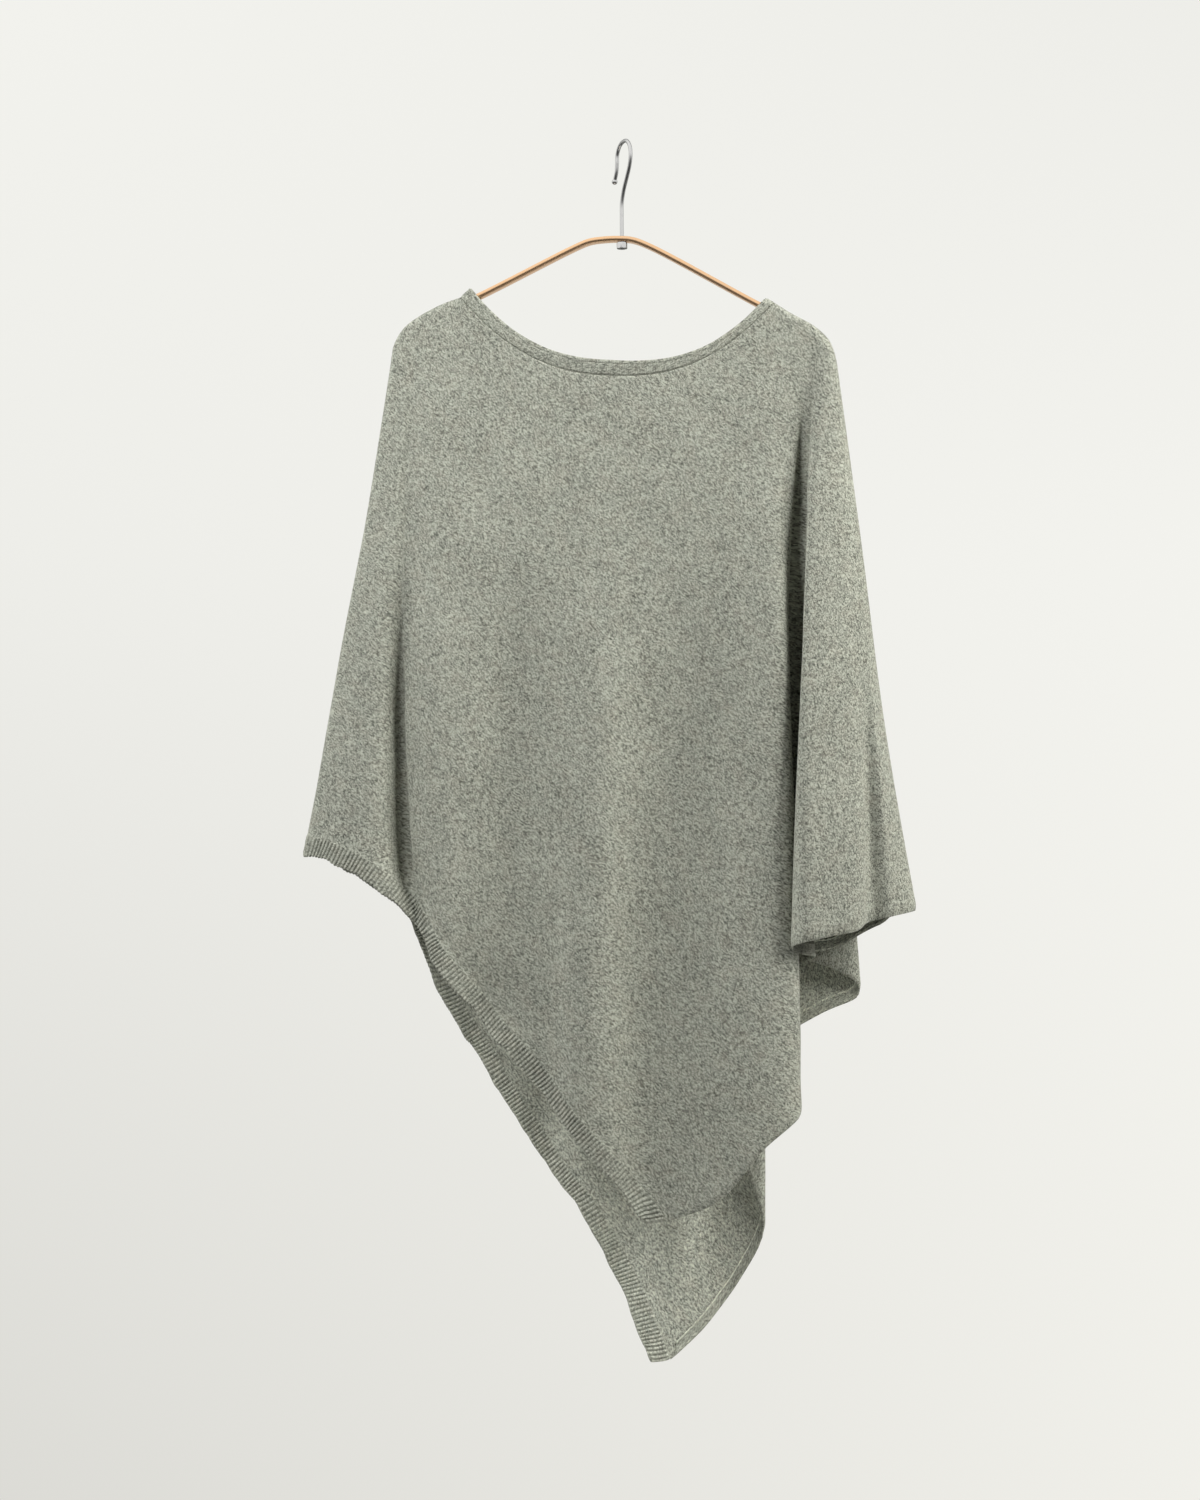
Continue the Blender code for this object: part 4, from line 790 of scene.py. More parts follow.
def facing_piece(name, tube, info, mats):
    """The narrow edging on the inside of the free hem: fine rows along the edge and a raised row at its top."""
    u_cols, end, h, right_run = info
    start = np.interp(RIB_WIDTH + 4.0, tube.right["run"], tube.right["u"])
    total = tube.right["run"][-1]
    run = np.arange(RIB_WIDTH + 5.0, total, 2.0)
    tail = [total - v for v in ridge_steps(11.0, 7, 11.0, 2.0)[::-1]]
    run = np.concatenate([run[run < tail[0] - 1.0], tail])
    u1 = np.interp(run, tube.right["run"], tube.right["u"])
    ang = np.interp(run, tube.right["even"], tube.right["angle"])
    rows = np.array([10.6, 10.2, 9.9, 9.6, 9.3, 9.0, 8.6, 8.2, 7.8, 7.4, 7.0, 6.6, 6.2, 5.8, 5.4, 5.0, 4.6, 4.2, 3.8, 3.4, 3.0, 2.6, 2.2, 1.8, 1.4, 1.0, 0.7])
    hh = np.interp(u1, tube.us, tube.z_top - tube.z_hem)
    base = np.interp(u1, u_cols, end)
    t = base[:, None] - rows[None, :] / np.cos(ang)[:, None] / hh[:, None]
    u = np.repeat(u1[:, None], t.shape[1], 1)
    p, near, out, rim = tube.raw(u, t)
    n = grid_normals(tube, p, u, t, near, out, rim)
    fix_ridge(tube, p, n, near, out)
    s = tube.across(u, t)
    p = p + n * relief(tube, u, t, p, s, (1 - t) * hh[:, None])[..., None]
    to = rows[None, :] / np.cos(ang)[:, None]
    p = p - n * (1.5 * np.clip(1 - to / 7.0, 0, 1) ** 2)[..., None]
    d = rows[None, :] + 0 * t
    lines = 0.16 * (0.5 + 0.5 * np.cos(2 * math.pi * d / 1.9)) * smoothstep((9.0 - d) / 0.6)
    ridge = 0.75 * np.exp(-((d - 9.6) / 0.6) ** 2)
    inner = CLOTH / 2 + 0.12 + lines + ridge - 0.35 * (1 - smoothstep((d - 0.6) / 0.8))
    inner = np.where(d > 10.3, 0.55, inner)
    outer = -0.22 + 0 * d
    uv = np.stack([run[:, None] * MM + d * 0, d * MM], -1)
    return shell(name, p, n, outer, inner, uv, mats, back=tube.side > 0, round_hem=False)


# ================================================================ neckband


def neck_piece(name, mats, stitch_mats):
    """The doubled band around the neck, its seam and the linking stitches in it."""
    fine = 620
    q1 = (1 - np.cos(np.linspace(0, math.pi, fine))) / 2 * 0.25 + np.linspace(0, 1, fine) * 0.75
    loop = [(q, -1.0) for q in q1] + [(q, 1.0) for q in q1[::-1][1:-1]]
    q = np.array([v[0] for v in loop])
    side = np.array([v[1] for v in loop])
    low = np.array([neck_curve(NECK_SEAM, v) for v in q])
    high = np.array([neck_curve(NECK_EDGE, v) for v in q])
    dd = high - low
    low = low + unit(dd) * 0.15
    width = np.linalg.norm(dd, axis=1)
    w = np.array([0.0, 0.02, 0.05, 0.09, 0.14, 0.22, 0.31, 0.4, 0.49, 0.58, 0.66, 0.71, 0.75, 0.78, 0.81, 0.84, 0.87, 0.9, 0.93, 0.96])[::-1]
    xz = low[:, None] + (high - low)[:, None] * w[None, :, None]
    near, out = ridge_info(xz[..., 0].ravel(), xz[..., 1].ravel())
    near, out = near.reshape(xz.shape[:2]), out.reshape(xz.shape)
    at_end = (q < 0.001) | (q > 0.999)
    near[at_end] = 0
    f = np.sqrt(np.maximum(0, 1 - (1 - np.clip(near / ROUND_TOP, 0, 1)) ** 2))
    y = side[:, None] * f * (SHOULDER_HALF + (NECK_FRONT_BULGE + 0.8 * w[None]) * (np.sin(math.pi * q) ** 0.8)[:, None])
    p = np.stack([xz[..., 0], y, xz[..., 1]], -1)
    du = np.roll(p, -1, 0) - np.roll(p, 1, 0)
    dt = np.empty_like(p)
    dt[:, 1:-1] = p[:, 2:] - p[:, :-2]
    dt[:, 0], dt[:, -1] = p[:, 1] - p[:, 0], p[:, -1] - p[:, -2]
    n = unit(np.cross(dt, du))
    if n[fine // 2, 5, 1] > 0:
        n = -n
    nn = np.clip(near / ROUND_TOP, 0, 1)
    turn = np.zeros_like(p)
    turn[..., 0] = out[..., 0] * (1 - nn) * SHOULDER_HALF
    turn[..., 2] = out[..., 1] * (1 - nn) * SHOULDER_HALF
    turn[..., 1] = side[:, None] * np.sqrt(np.maximum(1 - (1 - nn) ** 2, 0)) * ROUND_TOP
    turn = unit(turn)
    keep = np.clip((nn - 0.25) / 0.65, 0, 1)[..., None]
    n = np.where(nn[..., None] < 1, unit(turn * (1 - keep) + n * keep), n)
    run = np.concatenate([[0], np.cumsum(np.linalg.norm(np.diff(p[:, 10], axis=0), axis=1))])
    d = (1 - w)[None, :] * width[:, None]                     # distance below the neck edge
    up = w[None, :] * width[:, None]                          # distance above the seam
    ribs = 0.12 * np.cos(2 * math.pi * run / 2.0)[:, None] * smoothstep(up / 2.0) * smoothstep((d - 3.4) / 1.6)
    swell = 0.30 * np.sin(math.pi * np.clip(w, 0, 1))[None] ** 0.7
    rim_line = -0.34 * np.exp(-((d - 2.9) / 0.42) ** 2) + 0.22 * np.exp(-((d - 1.5) / 0.9) ** 2)
    seam = -0.85 * (1 - smoothstep(up / 1.3))
    soft = 0.12 * np.sin(run / 6.1 + 0.4)[:, None] + 0.1 * np.sin(run / 10.7)[:, None]
    outer = 1.1 + ribs + swell + rim_line + seam + soft * smoothstep(up / 2.0)
    inner = 1.1 + 0 * outer - 0.4 * (1 - smoothstep(up / 1.3))
    uv = np.stack([run[:, None] * MM + 0 * d, up * MM], -1)
    band = shell(name, p, n, outer, inner, uv, mats, ring=True, round_hem=False, round_top=True)
    # linking stitches across the seam
    verts, quads = [], []
    low_line = np.array([neck_curve(NECK_SEAM, v) for v in q])
    nl = n[:, -1]
    base = p[:, -1]
    seam_run = np.concatenate([[0], np.cumsum(np.linalg.norm(np.diff(base, axis=0), axis=1))])
    total = seam_run[-1]
    pitch = 2.55
    count = int(total / pitch)
    tangent = unit(np.roll(base, -1, 0) - np.roll(base, 1, 0))
    sides = 6
    for k in range(count):
        r = (k + 0.5) * total / count
        i = int(np.interp(r, seam_run, np.arange(len(base))))
        c, tn, nr = base[i], tangent[i], nl[i]
        dn = unit(np.cross(tn, nr))
        if dn[2] > 0:
            dn = -dn
        jig = 0.22 * math.sin(k * 2.399) + 0.12 * math.sin(k * 5.1)
        ax = unit(dn * 1.0 + tn * (0.75 + jig))
        cr = unit(np.cross(ax, nr))
        length, rad = 1.15 + 0.12 * math.sin(k * 1.7), 0.36
        centre = c + nr * (0.42 + 0.06 * math.sin(k * 3.3)) - dn * 0.05
        ring0 = len(verts)
        prof = [(-1.0, 0.25), (-0.8, 0.75), (-0.35, 1.0), (0.35, 1.0), (0.8, 0.75), (1.0, 0.25)]
        for a, b in prof:
            for m in range(sides):
                w_ = 2 * math.pi * m / sides
                arch = nr * (0.30 * (1 - a * a))
                verts.append(centre + ax * (a * length) + arch + (cr * math.cos(w_) + nr * math.sin(w_)) * (rad * b))
        for a in range(len(prof) - 1):
            for m in range(sides):
                o = ring0 + a * sides
                quads.append((o + m, o + (m + 1) % sides, o + sides + (m + 1) % sides, o + sides + m))
        quads.append((ring0 + 0, ring0 + 5, ring0 + 4, ring0 + 3))
        quads.append((ring0 + 0, ring0 + 3, ring0 + 2, ring0 + 1))
        o = ring0 + (len(prof) - 1) * sides
        quads.append((o + 0, o + 1, o + 2, o + 3))
        quads.append((o + 0, o + 3, o + 4, o + 5))
    verts = np.array(verts)
    uv = np.stack([(verts[:, 0] + verts[:, 1]) * MM, verts[:, 2] * MM], 1)
    verts[:, 1] += MID_Y
    mesh = mesh_from("neck_stitches", verts, quads, uv)
    stitches = new_object("neck_stitches", mesh, stitch_mats)
    return band, stitches


# ================================================================ hanger


def under_shoulder(line, depth):
    d = unit(np.gradient(line, axis=0))
    return line + np.stack([d[:, 1], -d[:, 0]], 1) * depth


def strip_piece(mats):
    left = under_shoulder(LEFT_LINE, STRIP_UNDER)[12:-5:6]
    right = under_shoulder(RIGHT_LINE, STRIP_UNDER)[5:-13:6]
    line = smooth_line(np.vstack([left, STRIP_LINE, right]), 14)
    keep = [line[0]]
    for v in line[1:]:
        if np.linalg.norm(v - keep[-1]) > 1.2:
            keep.append(v)
    line = np.array(keep)
    sec = []
    r = STRIP_EDGE
    for cy, cz, a0 in ((STRIP_DEEP / 2 - r, -r, 90), (-STRIP_DEEP / 2 + r, -r, 180), (-STRIP_DEEP / 2 + r, -STRIP_TALL + r, 270), (STRIP_DEEP / 2 - r, -STRIP_TALL + r, 360)):
        for k in range(7):
            a = math.radians(a0 - 90 + 15 * k)
            sec.append((cy + r * math.cos(a), cz + r * math.sin(a)))
        if a0 in (180, 360):
            # the wide faces at the front and the back are a little crowned
            out = -1.0 if a0 == 180 else 1.0
            flat = STRIP_TALL - 2 * r
            for k in range(1, 8):
                f = k / 8.0
                sec.append((out * (STRIP_DEEP / 2 + 0.55 * (1 - (2 * f - 1) ** 2)), (-r - flat * f) if a0 == 180 else (-STRIP_TALL + r + flat * f)))
    sec = np.array(sec)
    d = unit(np.gradient(line, axis=0))
    up = np.stack([-d[:, 1], d[:, 0]], 1)
    m = len(sec)
    verts = np.zeros((len(line), m, 3))
    verts[..., 0] = line[:, None, 0] + up[:, None, 0] * sec[None, :, 1]
    verts[..., 2] = line[:, None, 1] + up[:, None, 1] * sec[None, :, 1]
    verts[..., 1] = sec[None, :, 0] + MID_Y
    run = np.concatenate([[0], np.cumsum(np.linalg.norm(np.diff(line, axis=0), axis=1))])
    per = np.concatenate([[0], np.cumsum(np.linalg.norm(np.diff(sec, axis=0), axis=1))])
    uv = np.stack(np.meshgrid(run * MM, per * MM, indexing="ij"), -1)
    index = np.arange(len(line) * m).reshape(len(line), m)
    quads = []
    for i in range(len(line) - 1):
        quads.append(strips(np.append(index[i], index[i, 0]), np.append(index[i + 1], index[i + 1, 0]), flip=True))
    quads = [list(map(int, q)) for q in np.concatenate(quads)]
    # the two ends, closed by strips across the section
    for i, turn in ((0, False), (len(line) - 1, True)):
        ids = [int(v) for v in index[i]]
        for k in range(m // 2 - 1):
            f = [ids[k], ids[k + 1], ids[m - 2 - k], ids[m - 1 - k]]
            quads.append(f if turn else f[::-1])
    mesh = mesh_from("strip_hanger", verts.reshape(-1, 3), quads, uv.reshape(-1, 2))
    obj = new_object("strip_hanger", mesh, mats)
    fix_outside(obj)
    return obj


def fix_outside(obj):
    """Faces point out."""
    import bmesh
    bm = bmesh.new()
    bm.from_mesh(obj.data)
    bmesh.ops.recalc_face_normals(bm, faces=bm.faces)
    if bm.calc_volume(signed=True) < 0:
        bmesh.ops.reverse_faces(bm, faces=bm.faces)
    bm.to_mesh(obj.data)
    bm.free()
    obj.data.shade_smooth()


HOOK_A = math.radians(HOOK_TURN)
HOOK_BACK = MID_Y + HOOK_LINE[0][0] * math.cos(HOOK_A)


def hook_point(h, z):
    return np.array((h * math.sin(HOOK_A), -h * math.cos(HOOK_A) + HOOK_BACK, z))


def hook_piece(mats):
    line = smooth_line(HOOK_LINE[1:], 14)
    stem = np.array([[HOOK_LINE[0][0], z] for z in np.linspace(HOOK_LINE[0][1], HOOK_LINE[1][1], 12)[:-1]])
    line = np.vstack([stem, line])
    across = np.array((math.cos(HOOK_A), math.sin(HOOK_A), 0.0))
    d = unit(np.gradient(line, axis=0))
    sides = 28
    verts, quads = [], []
    w = 2 * math.pi * np.arange(sides) / sides
    for k, ((h, z), t) in enumerate(zip(line, d)):
        c = hook_point(h, z)
        n = np.array((-t[1] * math.sin(HOOK_A), t[1] * math.cos(HOOK_A), t[0]))
        r = WIRE / 2 * (0.8 if k == 0 else 1.0)
        verts += [c + (across * math.cos(a) + n * math.sin(a)) * r for a in w]
    t = d[-1]
    axis = np.array((t[0] * math.sin(HOOK_A), -t[0] * math.cos(HOOK_A), t[1]))
    n = np.array((-t[1] * math.sin(HOOK_A), t[1] * math.cos(HOOK_A), t[0]))
    c = hook_point(*line[-1])
    start = math.acos(WIRE / BALL)
    rings = len(line)
    for k in range(1, 15):
        lat = -start + (math.pi / 2 + start) * k / 15
        r, s = BALL / 2 * math.cos(lat), BALL / 2 * (math.sin(lat) + math.sin(start))
        verts += [c + axis * s + (across * math.cos(a) + n * math.sin(a)) * r for a in w]
        rings += 1
    for k in range(rings - 1):
        for a in range(sides):
            b = (a + 1) % sides
            quads.append((k * sides + a, k * sides + b, (k + 1) * sides + b, (k + 1) * sides + a))
    for k in (0, rings - 1):
        ids = list(range(k * sides, (k + 1) * sides))
        for a in range(sides // 2 - 1):
            quads.append((ids[a], ids[a + 1], ids[sides - 2 - a], ids[sides - 1 - a]))
    mesh = mesh_from("wire_hook", np.array(verts), quads)
    obj = new_object("wire_hook", mesh, mats)
    fix_outside(obj)
    return obj


def nut_piece(mats):
    """Hexagon nut with chamfered corners, and the washer face that bears on the strip."""
    foot = hook_point(*HOOK_LINE[0])
    x, y = foot[0], foot[1]
    top = STRIP_LINE[4][1] - STRIP_TALL - GAP - 0.6
    outer_r, inner_r = NUT_FLATS / 2 / math.cos(math.pi / 6), WIRE / 2 + GAP
    m = 96
    prof = [(0.0, 0.90), (-0.25, 0.955), (-0.6, 1.0), (-NUT_TALL + 0.6, 1.0), (-NUT_TALL + 0.25, 0.955), (-NUT_TALL, 0.90)]
    verts = []
    for dz, scale in prof:
        for k in range(m):
            w = 2 * math.pi * k / m
            hexagon = NUT_FLATS / 2 / math.cos((w + math.pi / 6) % (math.pi / 3) - math.pi / 6)
            soft = min(hexagon, outer_r * 0.985)
            r = min(soft, outer_r * scale)
            verts.append((x + r * math.cos(w), y + r * math.sin(w), top + dz))
    for dz in (-NUT_TALL, -NUT_TALL + 0.35, -0.35, 0.0):
        r = inner_r + (0.25 if dz in (-NUT_TALL, 0.0) else 0.0)
        verts += [(x + r * math.cos(2 * math.pi * k / m), y + r * math.sin(2 * math.pi * k / m), top + dz) for k in range(m)]
    rings = len(prof) + 4
    quads = []
    for k in range(rings):
        for a in range(m):
            b = (a + 1) % m
            j = (k + 1) % rings
            quads.append((k * m + a, k * m + b, j * m + b, j * m + a))
    mesh = mesh_from("hex_nut", np.array(verts), quads)
    obj = new_object("hex_nut", mesh, mats)
    fix_outside(obj)
    obj.data.set_sharp_from_angle(angle=math.radians(28))
    return obj


# ================================================================ materials


class Nodes:
    """Short calls for a material's nodes."""

    def __init__(self, name):
        self.mat = bpy.data.materials.new(name)
        self.mat.use_nodes = True
        self.tree = self.mat.node_tree
        self.shader = self.tree.nodes["Principled BSDF"]

    def new(self, kind, **values):
        node = self.tree.nodes.new(kind)
        for k, v in values.items():
            setattr(node, k, v)
        return node

    def link(self, a, b):
        self.tree.links.new(a, b)

    def math(self, op, a, b=None, clamp=False):
        node = self.new("ShaderNodeMath", operation=op, use_clamp=clamp)
        for i, v in enumerate((a, b)):
            if v is None:
                continue
            if isinstance(v, (int, float)):
                node.inputs[i].default_value = v
            else:
                self.link(v, node.inputs[i])
        return node.outputs[0]

    def mapping(self, vector, scale, angle=0.0, shift=(0, 0, 0)):
        node = self.new("ShaderNodeMapping")
        self.link(vector, node.inputs["Vector"])
        node.inputs["Scale"].default_value = scale
        node.inputs["Rotation"].default_value = (0, 0, angle)
        node.inputs["Location"].default_value = shift
        return node.outputs[0]

    def noise(self, vector, detail=1.0, rough=0.5, scale=1.0, dims="2D"):
        node = self.new("ShaderNodeTexNoise", noise_dimensions=dims)
        self.link(vector, node.inputs["Vector"])
        node.inputs["Scale"].default_value = scale
        node.inputs["Detail"].default_value = detail
        node.inputs["Roughness"].default_value = rough
        return node.outputs[0]

    def mix(self, factor, a, b):
        node = self.new("ShaderNodeMix", data_type="RGBA")
        for socket, v in ((node.inputs[0], factor), (node.inputs[6], a), (node.inputs[7], b)):
            if isinstance(v, tuple):
                socket.default_value = (*v, 1.0)
            elif isinstance(v, (int, float)):
                socket.default_value = v
            else:
                self.link(v, socket)
        return node.outputs[2]

    def scale_colour(self, colour, value):
        node = self.new("ShaderNodeVectorMath", operation="SCALE")
        self.link(colour, node.inputs[0])
        if isinstance(value, (int, float)):
            node.inputs[3].default_value = value
        else:
            self.link(value, node.inputs[3])
        return node.outputs[0]


MELANGE_DARK = (0.078, 0.081, 0.068)
MELANGE_LIGHT = (0.545, 0.560, 0.470)


def knit(name, angle=0.0, reverse=False, tone=1.0, grain=1.0, stitch=1.0, wale=WALE, course=COURSE, groove=0.0, groove_to=0.0, groove_shade_and_tone=0.28, groove_shift=0.0, rim_highlight=0.0):
    """Melange knit: salt-and-pepper grain in short streaks along the courses, stitches as bump, a soft nap; painted
    shade in the stitch hollows and sunk ribs, and a painted rim highlight on edgings.
    """
    m = Nodes(name)
    uv = m.new("ShaderNodeUVMap", uv_map="cloth").outputs[0]
    mm = m.mapping(uv, (1000.0, 1000.0, 1.0), 0.0)
    turned = m.mapping(mm, (1.0, 1.0, 1.0), angle)
    # a little wander, so that rows aren't ruled lines
    wander = m.new("ShaderNodeTexNoise", noise_dimensions="2D")
    m.link(turned, wander.inputs["Vector"])
    wander.inputs["Scale"].default_value = 0.11
    wander.inputs["Detail"].default_value = 1.0
    off = m.new("ShaderNodeVectorMath", operation="SUBTRACT")
    m.link(wander.outputs["Color"], off.inputs[0])
    off.inputs[1].default_value = (0.5, 0.5, 0.5)
    amp = m.new("ShaderNodeVectorMath", operation="SCALE")
    m.link(off.outputs[0], amp.inputs[0])
    amp.inputs[3].default_value = 1.6
    add = m.new("ShaderNodeVectorMath", operation="ADD")
    m.link(turned, add.inputs[0])
    m.link(amp.outputs[0], add.inputs[1])
    xy = add.outputs[0]
    sep = m.new("ShaderNodeSeparateXYZ")
    m.link(xy, sep.inputs[0])
    x, y = sep.outputs[0], sep.outputs[1]
    # stitches
    if not reverse:
        fa = m.math("ABSOLUTE", m.math("SUBTRACT", m.math("FRACT", m.math("DIVIDE", x, wale)), 0.5))
        leg = m.math("SUBTRACT", 1.0, m.math("MULTIPLY", m.math("POWER", m.math("SUBTRACT", fa, 0.25), 2.0), 16.0))
        phase = m.math("SUBTRACT", m.math("DIVIDE", y, course), m.math("MULTIPLY", fa, 1.5))
        roll = m.math("ADD", 0.66, m.math("MULTIPLY", m.math("COSINE", m.math("MULTIPLY", phase, 2 * math.pi)), 0.34))
        height = m.math("MULTIPLY", m.math("POWER", m.math("MAXIMUM", leg, 0.0), 0.6), roll)
    else:
        bend = m.math("MULTIPLY", m.math("COSINE", m.math("MULTIPLY", m.math("DIVIDE", x, wale), 2 * math.pi)), 0.24)
        phase = m.math("ADD", m.math("DIVIDE", y, course), bend)
        height = m.math("ADD", 0.5, m.math("MULTIPLY", m.math("COSINE", m.math("MULTIPLY", phase, 2 * math.pi)), 0.5))
    # melange
    streak = m.noise(m.mapping(xy, (1 / 4.6, 1 / 1.05, 1.0)), 1.0, 0.5)
    cells = m.new("ShaderNodeTexVoronoi", voronoi_dimensions="2D")
    m.link(m.mapping(xy, (1 / 1.25, 1 / 0.76, 1.0), shift=(17.3, 4.1, 0)), cells.inputs["Vector"])
    cells.inputs["Scale"].default_value = 1.0
    tuft = m.new("ShaderNodeSeparateColor")
    m.link(cells.outputs["Color"], tuft.inputs[0])
    speck = tuft.outputs[0]
    clump = m.noise(m.mapping(xy, (1 / 7.5, 1 / 5.0, 1.0), shift=(3.7, 31.9, 0)), 1.0, 0.5)
    broad = m.noise(m.mapping(xy, (1 / 60.0, 1 / 48.0, 1.0), shift=(9.1, 2.2, 0)), 1.0, 0.5)
    hue = m.noise(m.mapping(xy, (1 / 17.0, 1 / 13.0, 1.0), shift=(41.0, 8.0, 0)), 1.0, 0.5)
    total = m.math("MULTIPLY", m.math("SUBTRACT", streak, 0.5), 0.7 * grain)
    total = m.math("ADD", total, m.math("MULTIPLY", m.math("SUBTRACT", speck, 0.5), 0.78 * grain))
    total = m.math("ADD", total, m.math("MULTIPLY", m.math("SUBTRACT", clump, 0.5), 0.22 * grain))
    total = m.math("ADD", total, m.math("MULTIPLY", m.math("SUBTRACT", broad, 0.5), 0.14))
    # the stitch height also darkens the colour in the hollows between the loops: painted shade at stitch scale
    total = m.math("ADD", total, m.math("MULTIPLY", m.math("SUBTRACT", height, 0.55), 0.20 * stitch))
    factor = m.math("ADD", total, 0.5, clamp=True)
    colour = m.mix(factor, MELANGE_DARK, MELANGE_LIGHT)
    warm = m.mix(m.math("MULTIPLY", m.math("SUBTRACT", hue, 0.44, clamp=True), 0.32, clamp=True), colour, (0.385, 0.335, 0.265))
    cold = m.mix(m.math("MULTIPLY", m.math("SUBTRACT", 0.50, hue, clamp=True), 0.32, clamp=True), warm, (0.275, 0.30, 0.255))
    final = m.scale_colour(cold, tone)
    if groove:
        # the sunk wales between the ribs are darkened: partly the purl stitches' own darker look, partly painted shade
        # in the grooves
        u_mm = m.new("ShaderNodeSeparateXYZ")
        m.link(mm, u_mm.inputs[0])
        wave = m.math("COSINE", m.math("ADD", m.math("MULTIPLY", u_mm.outputs[0], 2 * math.pi / groove), 2 * math.pi * groove_shift))
        groove_darkening = m.math("MULTIPLY", m.math("POWER", m.math("SUBTRACT", 0.5, m.math("MULTIPLY", wave, 0.5)), 1.6), groove_shade_and_tone)
        if groove_to:
            on = m.math("MULTIPLY", m.math("SUBTRACT", groove_to, u_mm.outputs[1]), 0.7, clamp=True)
            groove_darkening = m.math("MULTIPLY", groove_darkening, on)
        final = m.scale_colour(final, m.math("SUBTRACT", 1.04, groove_darkening))
    if rim_highlight:
        # painted highlight: the raised row at an edging's top and its outer edge are lightened as if they caught the
        # light
        v_mm = m.new("ShaderNodeSeparateXYZ")
        m.link(mm, v_mm.inputs[0])
        row = m.math("SUBTRACT", 1.25, m.math("ABSOLUTE", m.math("SUBTRACT", v_mm.outputs[1], 9.6)), clamp=True)
        edge = m.math("SUBTRACT", 0.9, m.math("MULTIPLY", v_mm.outputs[1], 0.55), clamp=True)
        final = m.scale_colour(final, m.math("ADD", 1.0, m.math("MULTIPLY", m.math("MAXIMUM", row, edge), rim_highlight)))
    m.link(final, m.shader.inputs["Base Color"])
    fibre = m.noise(m.mapping(xy, (1 / 0.5, 1 / 0.38, 1.0)), 2.0, 0.6)
    relief_value = m.math("ADD", m.math("MULTIPLY", height, 0.5 * stitch), m.math("MULTIPLY", fibre, 0.6))
    relief_value = m.math("ADD", relief_value, m.math("MULTIPLY", clump, 0.05))
    bump = m.new("ShaderNodeBump")
    bump.inputs["Strength"].default_value = 0.55
    bump.inputs["Distance"].default_value = 0.00042
    m.link(relief_value, bump.inputs["Height"])
    m.link(bump.outputs[0], m.shader.inputs["Normal"])
    rough = m.math("ADD", 0.86, m.math("MULTIPLY", fibre, 0.12), clamp=True)
    m.link(rough, m.shader.inputs["Roughness"])
    m.shader.inputs["Specular IOR Level"].default_value = 0.18
    m.shader.inputs["Sheen Weight"].default_value = 0.22
    m.shader.inputs["Sheen Roughness"].default_value = 0.45
    m.shader.inputs["Sheen Tint"].default_value = (0.93, 0.92, 0.86, 1.0)
    m.mat.diffuse_color = (0.3, 0.3, 0.27, 1.0)
    return m.mat


def copper():
    m = Nodes("copper_plated")
    uv = m.new("ShaderNodeUVMap", uv_map="cloth").outputs[0]
    mm = m.mapping(uv, (1000.0, 1000.0, 1.0))
    brush = m.noise(m.mapping(mm, (1 / 14.0, 1 / 0.5, 1.0)), 2.0, 0.6)
    blot = m.noise(m.mapping(mm, (1 / 22.0, 1 / 6.0, 1.0), shift=(5, 9, 0)), 2.0, 0.5)
    colour = m.mix(brush, (0.80, 0.50, 0.28), (0.88, 0.60, 0.365))
    colour = m.mix(m.math("MULTIPLY", blot, 0.35, clamp=True), colour, (0.70, 0.45, 0.30))
    m.link(colour, m.shader.inputs["Base Color"])
    m.shader.inputs["Metallic"].default_value = 1.0
    m.link(m.math("ADD", 0.24, m.math("MULTIPLY", brush, 0.16)), m.shader.inputs["Roughness"])
    bump = m.new("ShaderNodeBump")
    bump.inputs["Strength"].default_value = 0.04
    bump.inputs["Distance"].default_value = 0.00003
    m.link(brush, bump.inputs["Height"])
    m.link(bump.outputs[0], m.shader.inputs["Normal"])
    m.mat.diffuse_color = (0.72, 0.42, 0.27, 1.0)
    return m.mat


def chrome(name, low, high):
    m = Nodes(name)
    coord = m.new("ShaderNodeTexCoord").outputs["Object"]
    wear = m.noise(m.mapping(coord, (60.0, 60.0, 24.0)), 2.0, 0.5, dims="3D")
    m.link(m.mix(wear, low, high), m.shader.inputs["Base Color"])
    m.shader.inputs["Metallic"].default_value = 1.0
    # painted reflection: the dark edge tint darkens the wire's and the nut's rims as if they mirrored a dim room
    m.shader.inputs["Specular Tint"].default_value = (0.16, 0.165, 0.155, 1.0)
    m.link(m.math("ADD", 0.15, m.math("MULTIPLY", wear, 0.05)), m.shader.inputs["Roughness"])
    m.mat.diffuse_color = (*high, 1.0)
    return m.mat


# ================================================================ build

FRONT_ANGLE = math.radians(46.0)
BACK_ANGLE = math.radians(52.0)
mat_front = knit("knit_front", FRONT_ANGLE)
mat_front_in = knit("knit_front_inside", FRONT_ANGLE, reverse=True, grain=1.05, tone=1.1)
mat_back = knit("knit_back", BACK_ANGLE)
# the back's inside is made 1.45 times lighter: partly the purl side's own lighter look, mostly painted light for fill
# that the lamps don't bring behind the front panel
mat_back_in = knit("knit_back_inside", BACK_ANGLE, reverse=True, grain=1.1, tone=1.45)
mat_rib = knit("knit_rib", 0.0, tone=1.05, grain=0.8, stitch=0.6, groove=RIB_PITCH, groove_to=RIB_WIDTH - 0.6)
